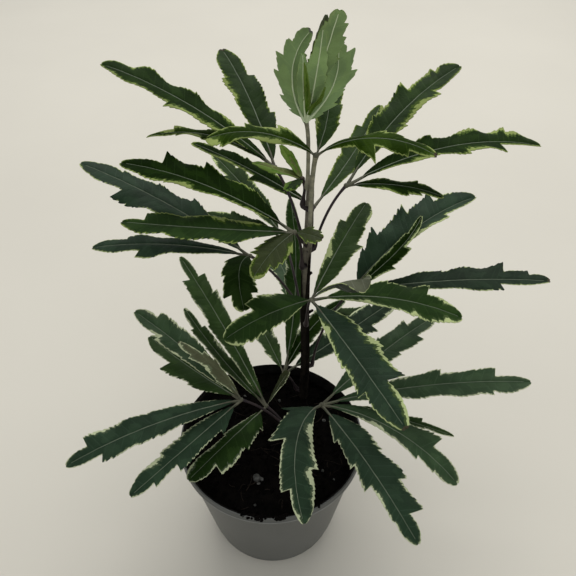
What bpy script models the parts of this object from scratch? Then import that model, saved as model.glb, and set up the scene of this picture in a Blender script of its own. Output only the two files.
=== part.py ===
"""A false aralia with cream-edged leaves in a small nursery pot.

Metres, +Z up. The origin is the centre of the pot's flat underside. The plant is
seen from the front along +Y, with +X to the right. Headings turn from +X towards +Y.
"""

import math
import random
from collections import namedtuple

import bmesh
import bpy
from mathutils import Matrix, Vector
from mathutils.geometry import interpolate_bezier

# The pot: a thin moulded cup with a flared lip
POT_HEIGHT = 0.083
POT_LIP_RADIUS = 0.0525
POT_MOUTH_RADIUS = 0.0512
POT_FOOT_RADIUS = 0.0385
POT_WALL = 0.0012
POT_FLOOR = 0.0016
POT_LIP_DEPTH = 0.0024
POT_EDGE = 0.0006
POT_CORNER = 0.0035
CORNER_STEPS = 4
POT_SEGMENTS = 56
DRAIN_HOLES = 6
DRAIN_RADIUS = 0.0035
DRAIN_CIRCLE = 0.026
DRAIN_SIDES = 16

# The soil fills the pot almost to its lip: its corners, and the slope at its top edge
CLEARANCE = 0.0003
SOIL_TOP = 0.0775
SOIL_CROWN = 0.0012
SOIL_CORNER = 0.0045
SOIL_SHOULDER = 0.006
SOIL_SHOULDER_DROP = 0.002
SOIL_CROWN_SHARE = 0.8
SOIL_SEGMENTS = 48

# The woody stem and the short side shoot beside it, each a foot and a top
STEM_FOOT = Vector((0.0189, 0.0305, SOIL_TOP + SOIL_CROWN + CLEARANCE))
STEM_TOP = 0.236
STEM_RADIUS = 0.0027
STEM_TIP_RADIUS = 0.0020
SHOOT_FOOT = Vector((0.013, -0.001, SOIL_TOP + SOIL_CROWN + CLEARANCE))
SHOOT_TOP = 0.092
SHOOT_RADIUS = 0.0024
SHOOT_TIP_RADIUS = 0.0016
STEM_SIDES = 10
STEM_RINGS = 14
SHOOT_RINGS = 4
STEM_WAVER = 0.0006
WAVER_PER_METRE = 55
WAVER_SIDEWAYS = 0.6
FOOT_FLARE = 1.25

# Leaf stalks
STALK_RADIUS = 0.00085
STALK_FOOT_RADIUS = 0.0015
STALK_SIDES = 6
STALK_RINGS = 6
STALK_BEND = 20
STEEPEST_START = 88
HUB_RADIUS = 0.0021

# A leaflet's outline from root to tip: share of its length, share of its half width
OUTLINE = (
    (0.00, 0.07), (0.09, 0.11), (0.18, 0.44), (0.28, 0.75),
    (0.39, 0.98), (0.42, 0.84),
    (0.54, 0.99), (0.57, 0.84),
    (0.70, 1.00), (0.76, 0.66),
    (0.90, 0.48), (1.00, 0.08),
)
YOUNG_OUTLINE = (
    (0.00, 0.06), (0.08, 0.15), (0.16, 0.48), (0.27, 0.74), (0.29, 0.68),
    (0.42, 0.94), (0.45, 0.86), (0.58, 0.93), (0.61, 0.83),
    (0.74, 0.74), (0.88, 0.46), (1.00, 0.10),
)
YOUNG_LEAVES = ("leaf_young", "leaf_top")
OUTLINE_SWAY = 0.08
LEAFLET_THICKNESS = 0.0012
LEAFLET_FOLD = 0.16
RIB_STEPS = 24

Blade = namedtuple("Blade", "heading rise length width droop turn roll",
                   defaults=(0.023, 25, 0, 0))
Leaf = namedtuple("Leaf", "name shoot height heading rise stalk blades")

# Every leaf: where its stalk leaves the stem or shoot, and where its leaflets point.
# Headings and rises are in degrees, and a rise is that of the whole leaflet's chord.
LEAVES = (
    Leaf("leaf_pot_front", "side", 0.085, 8, 58, 0.028, (
        Blade(-99, 0, 0.078, 0.021, 75, 60), Blade(-59, -8, 0.087, 0.022, 31),
        Blade(-32, -7, 0.084, 0.020, 50, -20), Blade(-2, 13, 0.111, 0.021, 20, -6),
        Blade(36, 13, 0.088, 0.019))),
    Leaf("leaf_pot_left", "side", 0.087, 180, 45, 0.041, (
        Blade(-158, -5, 0.096, 0.023, 33), Blade(-137, -10, 0.074, 0.020, 18, -10),
        Blade(143, 4, 0.070, 0.018, 10, -15), Blade(146, 20, 0.078, 0.017, 21),
        Blade(151, 35, 0.047, 0.009, 32, 18, 180))),
    Leaf("leaf_low_left", "side", 0.084, 150, 37, 0.023, (
        Blade(125, 27, 0.105, 0.018, 21), Blade(131, 14, 0.082, 0.010, 12, -18),
        Blade(-131, -2, 0.061, 0.019, 26, -10), Blade(59, 12, 0.026, 0.009, 19))),
    Leaf("leaf_stem_foot", "main", 0.084, 170, 47, 0.018, (
        Blade(114, 6, 0.047, 0.013), Blade(87, 42, 0.108, 0.015, 5, 30),
        Blade(51, 13, 0.065, 0.014, 33, -25), Blade(31, 15, 0.088, 0.022, 5, 6))),
    Leaf("leaf_low_back", "main", 0.089, 90, 17, 0.047, (
        Blade(109, 6, 0.062, 0.018, 20), Blade(-172, 0, 0.042, 0.015),
        Blade(2, -1, 0.055, 0.016, 12, 15))),
    Leaf("leaf_front", "main", 0.146, -81, 62, 0.034, (
        Blade(-153, -7, 0.048, 0.020, 33), Blade(61, 17, 0.066, 0.017, 20),
        Blade(-5, -5, 0.076, 0.022, 37, -9), Blade(-60, -9, 0.079, 0.022, 19, 5),
        Blade(-11, 33, 0.034, 0.011, 46, -10, 205))),
    Leaf("leaf_right", "main", 0.106, 17, 65, 0.059, (
        Blade(36, 15, 0.096, 0.024, 36, -13), Blade(-1, 5, 0.105, 0.021, 18))),
    Leaf("leaf_left", "main", 0.156, 160, 41, 0.040, (
        Blade(159, 20, 0.101, 0.021, 20), Blade(173, -2, 0.086, 0.018, 26),
        Blade(-90, -20, 0.038, 0.019, 110, 62))),
    Leaf("leaf_back", "main", 0.140, 104, 29, 0.054, (
        Blade(126, 13, 0.080, 0.017, 16), Blade(152, -2, 0.055, 0.015, 12))),
    Leaf("leaf_middle_left", "main", 0.186, -126, 68, 0.028, (
        Blade(159, 11, 0.092, 0.020, 29, 5), Blade(173, -1, 0.083, 0.020, 8, -15),
        Blade(-135, -24, 0.030, 0.018, 48))),
    Leaf("leaf_upper_left", "main", 0.198, 127, 49, 0.040, (
        Blade(114, 25, 0.076, 0.017, 22, 7), Blade(158, 22, 0.098, 0.016, 28),
        Blade(161, 3, 0.071, 0.009, 50, 18))),
    Leaf("leaf_upper_back", "main", 0.207, 79, 11, 0.015, (
        Blade(58, 19, 0.074, 0.015, 2, 15), Blade(145, 7, 0.079, 0.014, 14))),
    Leaf("leaf_upper_right", "main", 0.194, 32, 55, 0.037, (
        Blade(42, 25, 0.086, 0.018, 32, -11), Blade(14, 4, 0.103, 0.018, 46),
        Blade(2, -9, 0.049, 0.009, 33))),
    Leaf("leaf_top_front", "main", 0.203, -84, 73.6, 0.0557, (
        Blade(172, 5, 0.0474, 0.0138, 58, 10), Blade(-18, 10, 0.0514, 0.0148, 70),
        Blade(81, 28, 0.042, 0.012, 10, 34))),
    Leaf("leaf_young", "main", 0.219, 144, 73, 0.015, (
        Blade(131, 35, 0.019, 0.006, 10), Blade(171, 15, 0.024, 0.007, 15),
        Blade(-130, 0, 0.013, 0.006, 10))),
    Leaf("leaf_top", "main", 0.233, -108, 75.5, 0.0363, (
        Blade(-170, 85, 0.0396, 0.0155, -75, 0, 55),
        Blade(-65, 74, 0.0464, 0.0135, -11, -5, -15),
        Blade(-56, 70, 0.0522, 0.0164, -46, -6, -25))),
)

# Colours as base colour, roughness
PLASTIC_GREY = ((0.16, 0.165, 0.16), 0.45)
PEAT_BLACK = ((0.012, 0.010, 0.009), 0.95)
BARK_BROWN = ((0.10, 0.085, 0.065), 0.75)
LEAF_GREEN = ((0.035, 0.085, 0.03), 0.45)
YOUNG_GREEN = ((0.13, 0.24, 0.07), 0.45)


def clear_scene():
    for thing in list(bpy.data.objects):
        bpy.data.objects.remove(thing, do_unlink=True)


def finish(name, finish_values):
    """A plain Principled material."""
    colour, roughness = finish_values
    material = bpy.data.materials.new(name)
    material.use_nodes = True
    shader = material.node_tree.nodes["Principled BSDF"]
    shader.inputs["Base Color"].default_value = (*colour, 1.0)
    shader.inputs["Roughness"].default_value = roughness
    shader.inputs["Metallic"].default_value = 0.0
    return material


def object_from_bmesh(name, shape, material, smooth_angle=35):
    mesh = bpy.data.meshes.new(name)
    shape.to_mesh(mesh)
    shape.free()
    mesh.materials.append(material)
    mesh.shade_smooth()
    mesh.set_sharp_from_angle(angle=math.radians(smooth_angle))
    thing = bpy.data.objects.new(name, mesh)
    bpy.context.scene.collection.objects.link(thing)
    return thing


def turned(profile, segments):
    """A closed turned body from a profile of (radius, height) that starts and ends on the axis."""
    shape = bmesh.new()
    rim = [shape.verts.new((radius, 0.0, height)) for radius, height in profile]
    edges = [shape.edges.new(pair) for pair in zip(rim, rim[1:])]
    bmesh.ops.spin(shape, geom=rim + edges, cent=(0, 0, 0), axis=(0, 0, 1),
                   angle=math.tau, steps=segments, use_merge=True)
    bmesh.ops.remove_doubles(shape, verts=shape.verts, dist=1e-6)
    bmesh.ops.recalc_face_normals(shape, faces=shape.faces)
    return shape


def pot_radius(height):
    """The outer radius of the pot's straight wall at a height."""
    return POT_FOOT_RADIUS + (POT_MOUTH_RADIUS - POT_FOOT_RADIUS) * height / POT_HEIGHT


def rounded_foot():
    """The outer bottom edge, from the flat underside round to the wall."""
    points = []
    for step in range(CORNER_STEPS + 1):
        angle = math.radians(90) * step / CORNER_STEPS
        height = POT_CORNER * (1 - math.cos(angle))
        radius = pot_radius(height) - POT_CORNER * (1 - math.sin(angle))
        points.append((radius, height))
    return points


def make_pot(material):
    """A turned cup: up the outside, over the lip and down the inside, then its drain holes."""
    lip_under = POT_HEIGHT - POT_LIP_DEPTH
    inner_corner = POT_CORNER - POT_WALL
    profile = [(0.0, 0.0)]
    profile += rounded_foot()
    profile += [
        (pot_radius(lip_under), lip_under),
        (POT_LIP_RADIUS - POT_EDGE, lip_under + POT_EDGE),
        (POT_LIP_RADIUS, POT_HEIGHT - POT_EDGE),
        (POT_LIP_RADIUS - POT_EDGE, POT_HEIGHT),
        (POT_MOUTH_RADIUS - POT_WALL + POT_EDGE, POT_HEIGHT),
        (POT_MOUTH_RADIUS - POT_WALL, POT_HEIGHT - POT_EDGE),
        (pot_radius(POT_CORNER) - POT_WALL, POT_FLOOR + inner_corner),
        (pot_radius(0.0) - POT_WALL - inner_corner, POT_FLOOR),
        (0.0, POT_FLOOR),
    ]
    pot = object_from_bmesh("pot", turned(profile, POT_SEGMENTS), material)
    for index in range(DRAIN_HOLES):
        angle = math.tau * (index + 0.5) / DRAIN_HOLES
        cut_round_hole(pot, Vector((DRAIN_CIRCLE * math.cos(angle),
                                    DRAIN_CIRCLE * math.sin(angle), 0.0)))
    return pot


def cut_round_hole(pot, centre):
    """A drain hole through the pot's floor, cut by a hidden cylinder."""
    shape = bmesh.new()
    place = Matrix.Translation(centre + Vector((0, 0, POT_FLOOR / 2)))
    bmesh.ops.create_cone(shape, cap_ends=True, segments=DRAIN_SIDES, radius1=DRAIN_RADIUS,
                          radius2=DRAIN_RADIUS, depth=POT_FLOOR * 4, matrix=place)
    cutter = object_from_bmesh("drain_cutter", shape, pot.data.materials[0])
    cutter.hide_render = True
    cutter.display_type = "WIRE"
    hole = pot.modifiers.new("drain hole", "BOOLEAN")
    hole.operation = "DIFFERENCE"
    hole.object = cutter


def make_soil(material):
    """The potting soil: the inside of the pot, with a slightly crowned top."""
    foot = POT_FLOOR + CLEARANCE
    wall = POT_WALL + CLEARANCE * 1.5
    edge = SOIL_TOP - SOIL_SHOULDER_DROP
    profile = [
        (0.0, foot),
        (pot_radius(foot) - wall - SOIL_CORNER, foot),
        (pot_radius(foot + SOIL_CORNER) - wall, foot + SOIL_CORNER),
        (pot_radius(edge) - wall, edge),
        (pot_radius(edge) - wall - SOIL_SHOULDER, SOIL_TOP),
        (pot_radius(SOIL_TOP) * SOIL_CROWN_SHARE, SOIL_TOP + SOIL_CROWN),
        (0.0, SOIL_TOP + SOIL_CROWN),
    ]
    return object_from_bmesh("soil", turned(profile, SOIL_SEGMENTS), material)


def tube(name, points, radii, sides, material):
    """A round limb along points, with a radius at each and flat filled ends."""
    shape = bmesh.new()
    ring = None
    for index, (point, radius) in enumerate(zip(points, radii)):
        ahead = points[min(index + 1, len(points) - 1)]
        behind = points[max(index - 1, 0)]
        turn = (ahead - behind).to_track_quat("Z", "Y").to_matrix().to_4x4()
        made = bmesh.ops.create_circle(shape, cap_ends=False, segments=sides, radius=radius,
                                       matrix=Matrix.Translation(point) @ turn)
        edges = list({edge for vert in made["verts"] for edge in vert.link_edges})
        if ring:
            bmesh.ops.bridge_loops(shape, edges=ring + edges)
        else:
            bmesh.ops.contextual_create(shape, geom=edges)
        ring = edges
    bmesh.ops.contextual_create(shape, geom=ring)
    bmesh.ops.recalc_face_normals(shape, faces=shape.faces)
    return object_from_bmesh(name, shape, material)


def shoot_point(shoot, height):
    """A stem's centre at a height, with the slight waver of real growth."""
    foot = STEM_FOOT if shoot == "main" else SHOOT_FOOT
    above = height - foot.z
    sway = STEM_WAVER * math.sin(above * WAVER_PER_METRE)
    return Vector((foot.x + sway, foot.y + sway * WAVER_SIDEWAYS, height))


def shoot_radius(shoot, height):
    """A stem's radius at a height: it tapers evenly from its foot to its top."""
    foot, top, wide, slim = (
        (STEM_FOOT, STEM_TOP, STEM_RADIUS, STEM_TIP_RADIUS) if shoot == "main"
        else (SHOOT_FOOT, SHOOT_TOP, SHOOT_RADIUS, SHOOT_TIP_RADIUS))
    share = (height - foot.z) / (top - foot.z)
    return wide + (slim - wide) * min(max(share, 0.0), 1.0)


def make_shoot(name, shoot, top, rings, material):
    foot = (STEM_FOOT if shoot == "main" else SHOOT_FOOT).z
    heights = [foot + (top - foot) * step / (rings - 1) for step in range(rings)]
    points = [shoot_point(shoot, height) for height in heights]
    radii = [shoot_radius(shoot, height) for height in heights]
    radii[0] *= FOOT_FLARE
    return tube(name, points, radii, STEM_SIDES, material)


def direction(heading, rise):
    """A unit vector from a heading round the plant and a rise above the level, in degrees."""
    heading = math.radians(heading)
    rise = math.radians(rise)
    return Vector((math.cos(heading) * math.cos(rise), math.sin(heading) * math.cos(rise),
                   math.sin(rise)))


def curved_path(start, heading, rise, length, droop, turn, steps):
    """Points along a rib that droops and turns evenly about its mean direction."""
    points = [start.copy()]
    for step in range(steps):
        share = (step + 0.5) / steps - 0.5
        move = direction(heading + turn * share, rise - droop * share)
        points.append(points[-1] + move * (length / steps))
    return points


def stalk_path(leaf):
    """From just clear of the stem's bark, steeply up and then out to where the leaflets meet."""
    start_rise = min(leaf.rise + STALK_BEND, STEEPEST_START)
    tilt = STALK_FOOT_RADIUS * math.sin(math.radians(start_rise))
    out = shoot_radius(leaf.shoot, leaf.height) + CLEARANCE + tilt
    axis = shoot_point(leaf.shoot, leaf.height)
    root = axis + direction(leaf.heading, 0) * out
    hub = axis + direction(leaf.heading, leaf.rise) * leaf.stalk
    third = (hub - root).length / 3
    return interpolate_bezier(root, root + direction(leaf.heading, start_rise) * third,
                              hub - direction(leaf.heading, leaf.rise - STALK_BEND) * third,
                              hub, STALK_RINGS)


def make_stalk(leaf, path, material):
    radii = [STALK_RADIUS] * STALK_RINGS
    radii[0] = STALK_FOOT_RADIUS
    return tube(leaf.name + "_stalk", path, radii, STALK_SIDES, material)


def rib_frame(rib, blade, share):
    """The place, sideways and upward directions of a rib at a share of its length."""
    place = share * (len(rib) - 1)
    index = min(int(place), len(rib) - 2)
    point = rib[index].lerp(rib[index + 1], place - index)
    along = (rib[index + 1] - rib[index]).normalized()
    heading = blade.heading + blade.turn * (share - 0.5)
    side = direction(heading + 90, 0)
    side.rotate(Matrix.Rotation(math.radians(blade.roll), 3, along))
    return point, side, along.cross(side)


def make_leaflet(name, hub, blade, outline, chance, material):
    """A toothed blade: a three-column grid laid along its rib, folded up a little at the rib."""
    rib = curved_path(hub, blade.heading, blade.rise, blade.length, blade.droop, blade.turn,
                      RIB_STEPS)
    shape = bmesh.new()
    rows = len(outline) - 1
    bmesh.ops.create_grid(shape, x_segments=2, y_segments=rows, size=0.5)
    sway = {}
    for row in range(rows + 1):
        for column in (-1, 1):
            sway[row, column] = 1 + chance.uniform(-OUTLINE_SWAY, OUTLINE_SWAY)
    for vert in shape.verts:
        column = round(vert.co.x * 2)
        row = round((vert.co.y + 0.5) * rows)
        share, half = outline[row]
        point, side, up = rib_frame(rib, blade, share)
        reach = half * blade.width / 2 * sway.get((row, column), 0)
        vert.co = point + side * (reach * -column) + up * (reach * LEAFLET_FOLD)
    bmesh.ops.recalc_face_normals(shape, faces=shape.faces)
    leaflet = object_from_bmesh(name, shape, material)
    thick = leaflet.modifiers.new("thickness", "SOLIDIFY")
    thick.thickness = LEAFLET_THICKNESS
    thick.offset = 0.0
    return leaflet


def make_hub(name, place, material):
    shape = bmesh.new()
    bmesh.ops.create_icosphere(shape, subdivisions=1, radius=HUB_RADIUS,
                               matrix=Matrix.Translation(place))
    return object_from_bmesh(name, shape, material)


def joined(name, pieces, material):
    """One closed body from overlapping pieces, by a Boolean union on their collection."""
    group = bpy.data.collections.new(name + "_pieces")
    bpy.context.scene.collection.children.link(group)
    for piece in pieces[1:]:
        bpy.context.scene.collection.objects.unlink(piece)
        group.objects.link(piece)
    base = pieces[0]
    union = base.modifiers.new("join", "BOOLEAN")
    union.operation = "UNION"
    union.operand_type = "COLLECTION"
    union.collection = group
    bpy.context.view_layer.update()
    evaluated = base.evaluated_get(bpy.context.evaluated_depsgraph_get())
    mesh = bpy.data.meshes.new_from_object(evaluated)
    mesh.name = name
    mesh.materials.clear()
    mesh.materials.append(material)
    body = bpy.data.objects.new(name, mesh)
    bpy.context.scene.collection.objects.link(body)
    for piece in pieces:
        bpy.data.objects.remove(piece, do_unlink=True)
    bpy.data.collections.remove(group)
    return body


def make_leaf(leaf, material):
    chance = random.Random(leaf.name)
    outline = YOUNG_OUTLINE if leaf.name in YOUNG_LEAVES else OUTLINE
    path = stalk_path(leaf)
    hub = path[-1]
    pieces = [make_hub(leaf.name + "_hub", hub, material), make_stalk(leaf, path, material)]
    for number, blade in enumerate(leaf.blades):
        name = f"{leaf.name}_leaflet_{number}"
        pieces.append(make_leaflet(name, hub, blade, outline, chance, material))
    return joined(leaf.name, pieces, material)


def main():
    clear_scene()
    make_pot(finish("pot_plastic", PLASTIC_GREY))
    make_soil(finish("potting_soil", PEAT_BLACK))
    bark = finish("stem_bark", BARK_BROWN)
    make_shoot("main_stem", "main", STEM_TOP, STEM_RINGS, bark)
    make_shoot("side_shoot", "side", SHOOT_TOP, SHOOT_RINGS, bark)
    green = finish("leaf_green", LEAF_GREEN)
    young = finish("young_leaf_green", YOUNG_GREEN)
    for leaf in LEAVES:
        make_leaf(leaf, young if leaf.name in YOUNG_LEAVES else green)


main()
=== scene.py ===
# %% [markdown]
# # Dressing a potted false aralia
#
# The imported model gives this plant's true sizes as plain solids: a pot, its soil, a stem, a
# side shoot and sixteen compound leaves. This lesson grows finer pieces in the same places.
# Each piece takes the place of its solid, so the plant keeps its reach, and the solids stay
# behind for weight and contact. The first cell loads them and keeps the box that they fill.

import bisect
import math
import random
from collections import namedtuple

import bmesh
import bpy
from mathutils import Matrix, Vector, noise
from mathutils.geometry import interpolate_bezier


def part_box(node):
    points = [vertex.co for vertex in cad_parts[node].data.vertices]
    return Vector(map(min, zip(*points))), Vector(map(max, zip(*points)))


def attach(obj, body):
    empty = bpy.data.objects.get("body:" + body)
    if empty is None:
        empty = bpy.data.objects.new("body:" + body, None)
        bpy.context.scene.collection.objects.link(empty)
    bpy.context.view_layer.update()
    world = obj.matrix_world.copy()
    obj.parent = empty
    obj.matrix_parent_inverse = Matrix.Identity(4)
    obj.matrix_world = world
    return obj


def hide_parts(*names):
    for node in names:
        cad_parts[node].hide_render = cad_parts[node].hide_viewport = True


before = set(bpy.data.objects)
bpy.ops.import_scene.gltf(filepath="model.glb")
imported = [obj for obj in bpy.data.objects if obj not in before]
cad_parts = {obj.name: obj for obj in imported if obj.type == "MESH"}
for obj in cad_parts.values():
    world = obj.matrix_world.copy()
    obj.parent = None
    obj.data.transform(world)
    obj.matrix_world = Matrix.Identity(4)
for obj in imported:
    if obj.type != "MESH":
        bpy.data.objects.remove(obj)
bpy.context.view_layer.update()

# %% [markdown]
# ## The growing rule
#
# The solids were grown by a rule, and the same rule is written again here. A leaf leaves the
# stem at a height and a heading, its stalk bends up and out to a hub, and from the hub its
# leaflets point their own ways. Headings turn from +X towards +Y, and every angle is in
# degrees. One table of leaves then serves the stalks, the ribs, the blades and their colours.

# %% The stems, and every leaf's place on them
SOIL_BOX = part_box("soil")
STEM_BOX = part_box("main_stem")
SHOOT_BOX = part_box("side_shoot")
SOIL_TOP = 0.0775
SOIL_CROWN = 0.0012
CLEARANCE = 0.0003
STEM_FOOT = Vector((0.0189, 0.0305, SOIL_TOP + SOIL_CROWN + CLEARANCE))
STEM_TOP = 0.236
STEM_RADIUS = 0.0027
STEM_TIP_RADIUS = 0.0020
SHOOT_FOOT = Vector((0.013, -0.001, SOIL_TOP + SOIL_CROWN + CLEARANCE))
SHOOT_TOP = 0.092
SHOOT_RADIUS = 0.0024
SHOOT_TIP_RADIUS = 0.0016
STEM_WAVER = 0.0006
WAVER_PER_METRE = 55
WAVER_SIDEWAYS = 0.6
STALK_RADIUS = 0.00085
STALK_FOOT_RADIUS = 0.0015
STALK_BEND = 20
STEEPEST_START = 88

Blade = namedtuple("Blade", "heading rise length width droop turn roll",
                   defaults=(0.023, 25, 0, 0))
Leaf = namedtuple("Leaf", "name shoot height heading rise stalk blades")

LEAVES = (
    Leaf("leaf_pot_front", "side", 0.085, 8, 58, 0.028, (
        Blade(-99, 0, 0.078, 0.021, 75, 60), Blade(-59, -8, 0.087, 0.022, 31),
        Blade(-32, -7, 0.084, 0.020, 50, -20), Blade(-2, 13, 0.111, 0.021, 20, -6),
        Blade(36, 13, 0.088, 0.019))),
    Leaf("leaf_pot_left", "side", 0.087, 180, 45, 0.041, (
        Blade(-158, -5, 0.096, 0.023, 33), Blade(-137, -10, 0.074, 0.020, 18, -10),
        Blade(143, 4, 0.070, 0.018, 10, -15), Blade(146, 20, 0.078, 0.017, 21),
        Blade(151, 35, 0.047, 0.009, 32, 18, 180))),
    Leaf("leaf_low_left", "side", 0.084, 150, 37, 0.023, (
        Blade(125, 27, 0.105, 0.018, 21), Blade(131, 14, 0.082, 0.010, 12, -18),
        Blade(-131, -2, 0.061, 0.019, 26, -10), Blade(59, 12, 0.026, 0.009, 19))),
    Leaf("leaf_stem_foot", "main", 0.084, 170, 47, 0.018, (
        Blade(114, 6, 0.047, 0.013), Blade(87, 42, 0.108, 0.015, 5, 30),
        Blade(51, 13, 0.065, 0.014, 33, -25), Blade(31, 15, 0.088, 0.022, 5, 6))),
    Leaf("leaf_low_back", "main", 0.089, 90, 17, 0.047, (
        Blade(109, 6, 0.062, 0.018, 20), Blade(-172, 0, 0.042, 0.015),
        Blade(2, -1, 0.055, 0.016, 12, 15))),
    Leaf("leaf_front", "main", 0.146, -81, 62, 0.034, (
        Blade(-153, -7, 0.048, 0.020, 33), Blade(61, 17, 0.066, 0.017, 20),
        Blade(-5, -5, 0.076, 0.022, 37, -9), Blade(-60, -9, 0.079, 0.022, 19, 5),
        Blade(-11, 33, 0.034, 0.011, 46, -10, 205))),
    Leaf("leaf_right", "main", 0.106, 17, 65, 0.059, (
        Blade(36, 15, 0.096, 0.024, 36, -13), Blade(-1, 5, 0.105, 0.021, 18))),
    Leaf("leaf_left", "main", 0.156, 160, 41, 0.040, (
        Blade(159, 20, 0.101, 0.021, 20), Blade(173, -2, 0.086, 0.018, 26),
        Blade(-90, -20, 0.038, 0.019, 110, 62))),
    Leaf("leaf_back", "main", 0.140, 104, 29, 0.054, (
        Blade(126, 13, 0.080, 0.017, 16), Blade(152, -2, 0.055, 0.015, 12))),
    Leaf("leaf_middle_left", "main", 0.186, -126, 68, 0.028, (
        Blade(159, 11, 0.092, 0.020, 29, 5), Blade(173, -1, 0.083, 0.020, 8, -15),
        Blade(-135, -24, 0.030, 0.018, 48))),
    Leaf("leaf_upper_left", "main", 0.198, 127, 49, 0.040, (
        Blade(114, 25, 0.076, 0.017, 22, 7), Blade(158, 22, 0.098, 0.016, 28),
        Blade(161, 3, 0.071, 0.009, 50, 18))),
    Leaf("leaf_upper_back", "main", 0.207, 79, 11, 0.015, (
        Blade(58, 19, 0.074, 0.015, 2, 15), Blade(145, 7, 0.079, 0.014, 14))),
    Leaf("leaf_upper_right", "main", 0.194, 32, 55, 0.037, (
        Blade(42, 25, 0.086, 0.018, 32, -11), Blade(14, 4, 0.103, 0.018, 46),
        Blade(2, -9, 0.049, 0.009, 33))),
    Leaf("leaf_top_front", "main", 0.203, -84, 73.6, 0.0557, (
        Blade(172, 5, 0.0474, 0.0138, 58, 10), Blade(-18, 10, 0.0514, 0.0148, 70),
        Blade(81, 28, 0.042, 0.012, 10, 34))),
    Leaf("leaf_young", "main", 0.219, 144, 73, 0.015, (
        Blade(131, 35, 0.019, 0.006, 10), Blade(171, 15, 0.024, 0.007, 15),
        Blade(-130, 0, 0.013, 0.006, 10))),
    Leaf("leaf_top", "main", 0.233, -108, 75.5, 0.0363, (
        Blade(-170, 85, 0.0396, 0.0155, -75, 0, 55),
        Blade(-65, 74, 0.0464, 0.0135, -11, -5, -15),
        Blade(-56, 70, 0.0522, 0.0164, -46, -6, -25))),
)
print(len(LEAVES), "leaves with", sum(len(leaf.blades) for leaf in LEAVES), "leaflets")


# %% Directions and paths
def direction(heading, rise):
    """A unit vector from a heading round the plant and a rise above the level, in degrees."""
    heading = math.radians(heading)
    rise = math.radians(rise)
    return Vector((math.cos(heading) * math.cos(rise), math.sin(heading) * math.cos(rise),
                   math.sin(rise)))


def curved_path(start, heading, rise, length, droop, turn, steps):
    """Points along a rib that droops and turns evenly about its mean direction."""
    points = [start.copy()]
    for step in range(steps):
        share = (step + 0.5) / steps - 0.5
        move = direction(heading + turn * share, rise - droop * share)
        points.append(points[-1] + move * (length / steps))
    return points


def shoot_point(shoot, height):
    """A stem's centre at a height, with the slight waver of real growth."""
    foot = STEM_FOOT if shoot == "main" else SHOOT_FOOT
    sway = STEM_WAVER * math.sin((height - foot.z) * WAVER_PER_METRE)
    return Vector((foot.x + sway, foot.y + sway * WAVER_SIDEWAYS, height))


def shoot_radius(shoot, height):
    """A stem's radius at a height: it tapers evenly from its foot to its top."""
    foot, top, wide, slim = (
        (STEM_FOOT, STEM_TOP, STEM_RADIUS, STEM_TIP_RADIUS) if shoot == "main"
        else (SHOOT_FOOT, SHOOT_TOP, SHOOT_RADIUS, SHOOT_TIP_RADIUS))
    share = (height - foot.z) / (top - foot.z)
    return wide + (slim - wide) * min(max(share, 0.0), 1.0)


def stalk_path(leaf, rings):
    """From just clear of the stem's bark, steeply up and then out to where the leaflets meet."""
    start_rise = min(leaf.rise + STALK_BEND, STEEPEST_START)
    tilt = STALK_FOOT_RADIUS * math.sin(math.radians(start_rise))
    out = shoot_radius(leaf.shoot, leaf.height) + CLEARANCE + tilt
    axis = shoot_point(leaf.shoot, leaf.height)
    root = axis + direction(leaf.heading, 0) * out
    hub = axis + direction(leaf.heading, leaf.rise) * leaf.stalk
    third = (hub - root).length / 3
    return interpolate_bezier(root, root + direction(leaf.heading, start_rise) * third,
                              hub - direction(leaf.heading, leaf.rise - STALK_BEND) * third,
                              hub, rings)


def rib_frame(rib, blade, share, twist=0):
    """The place, sideways and upward directions of a rib at a share of its length."""
    place = min(max(share, 0.0), 1.0) * (len(rib) - 1)
    index = min(int(place), len(rib) - 2)
    point = rib[index].lerp(rib[index + 1], place - index)
    along = (rib[index + 1] - rib[index]).normalized()
    heading = blade.heading + blade.turn * (share - 0.5)
    side = direction(heading + 90, 0)
    side.rotate(Matrix.Rotation(math.radians(blade.roll - twist * (1 - share)), 3, along))
    return point, side, along.cross(side)


print("The stem stands", round((STEM_BOX[1].z - STEM_BOX[0].z) * 1000), "mm over the soil")

# %% [markdown]
# ## Living colours
#
# A leaf of this plant is deep green with a cream edge, pale ribs and, here and there, a dry
# brown tip. Those colours have a place, so each is its own material, dealt out to faces, and
# none is painted from a picture. Within one material, noise in the piece's own coordinates
# shifts the tint and the gloss a little, and a fine cell pattern dents the surface as the net
# of small veins does. The gloss values stand on the shader's own sockets.


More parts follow.
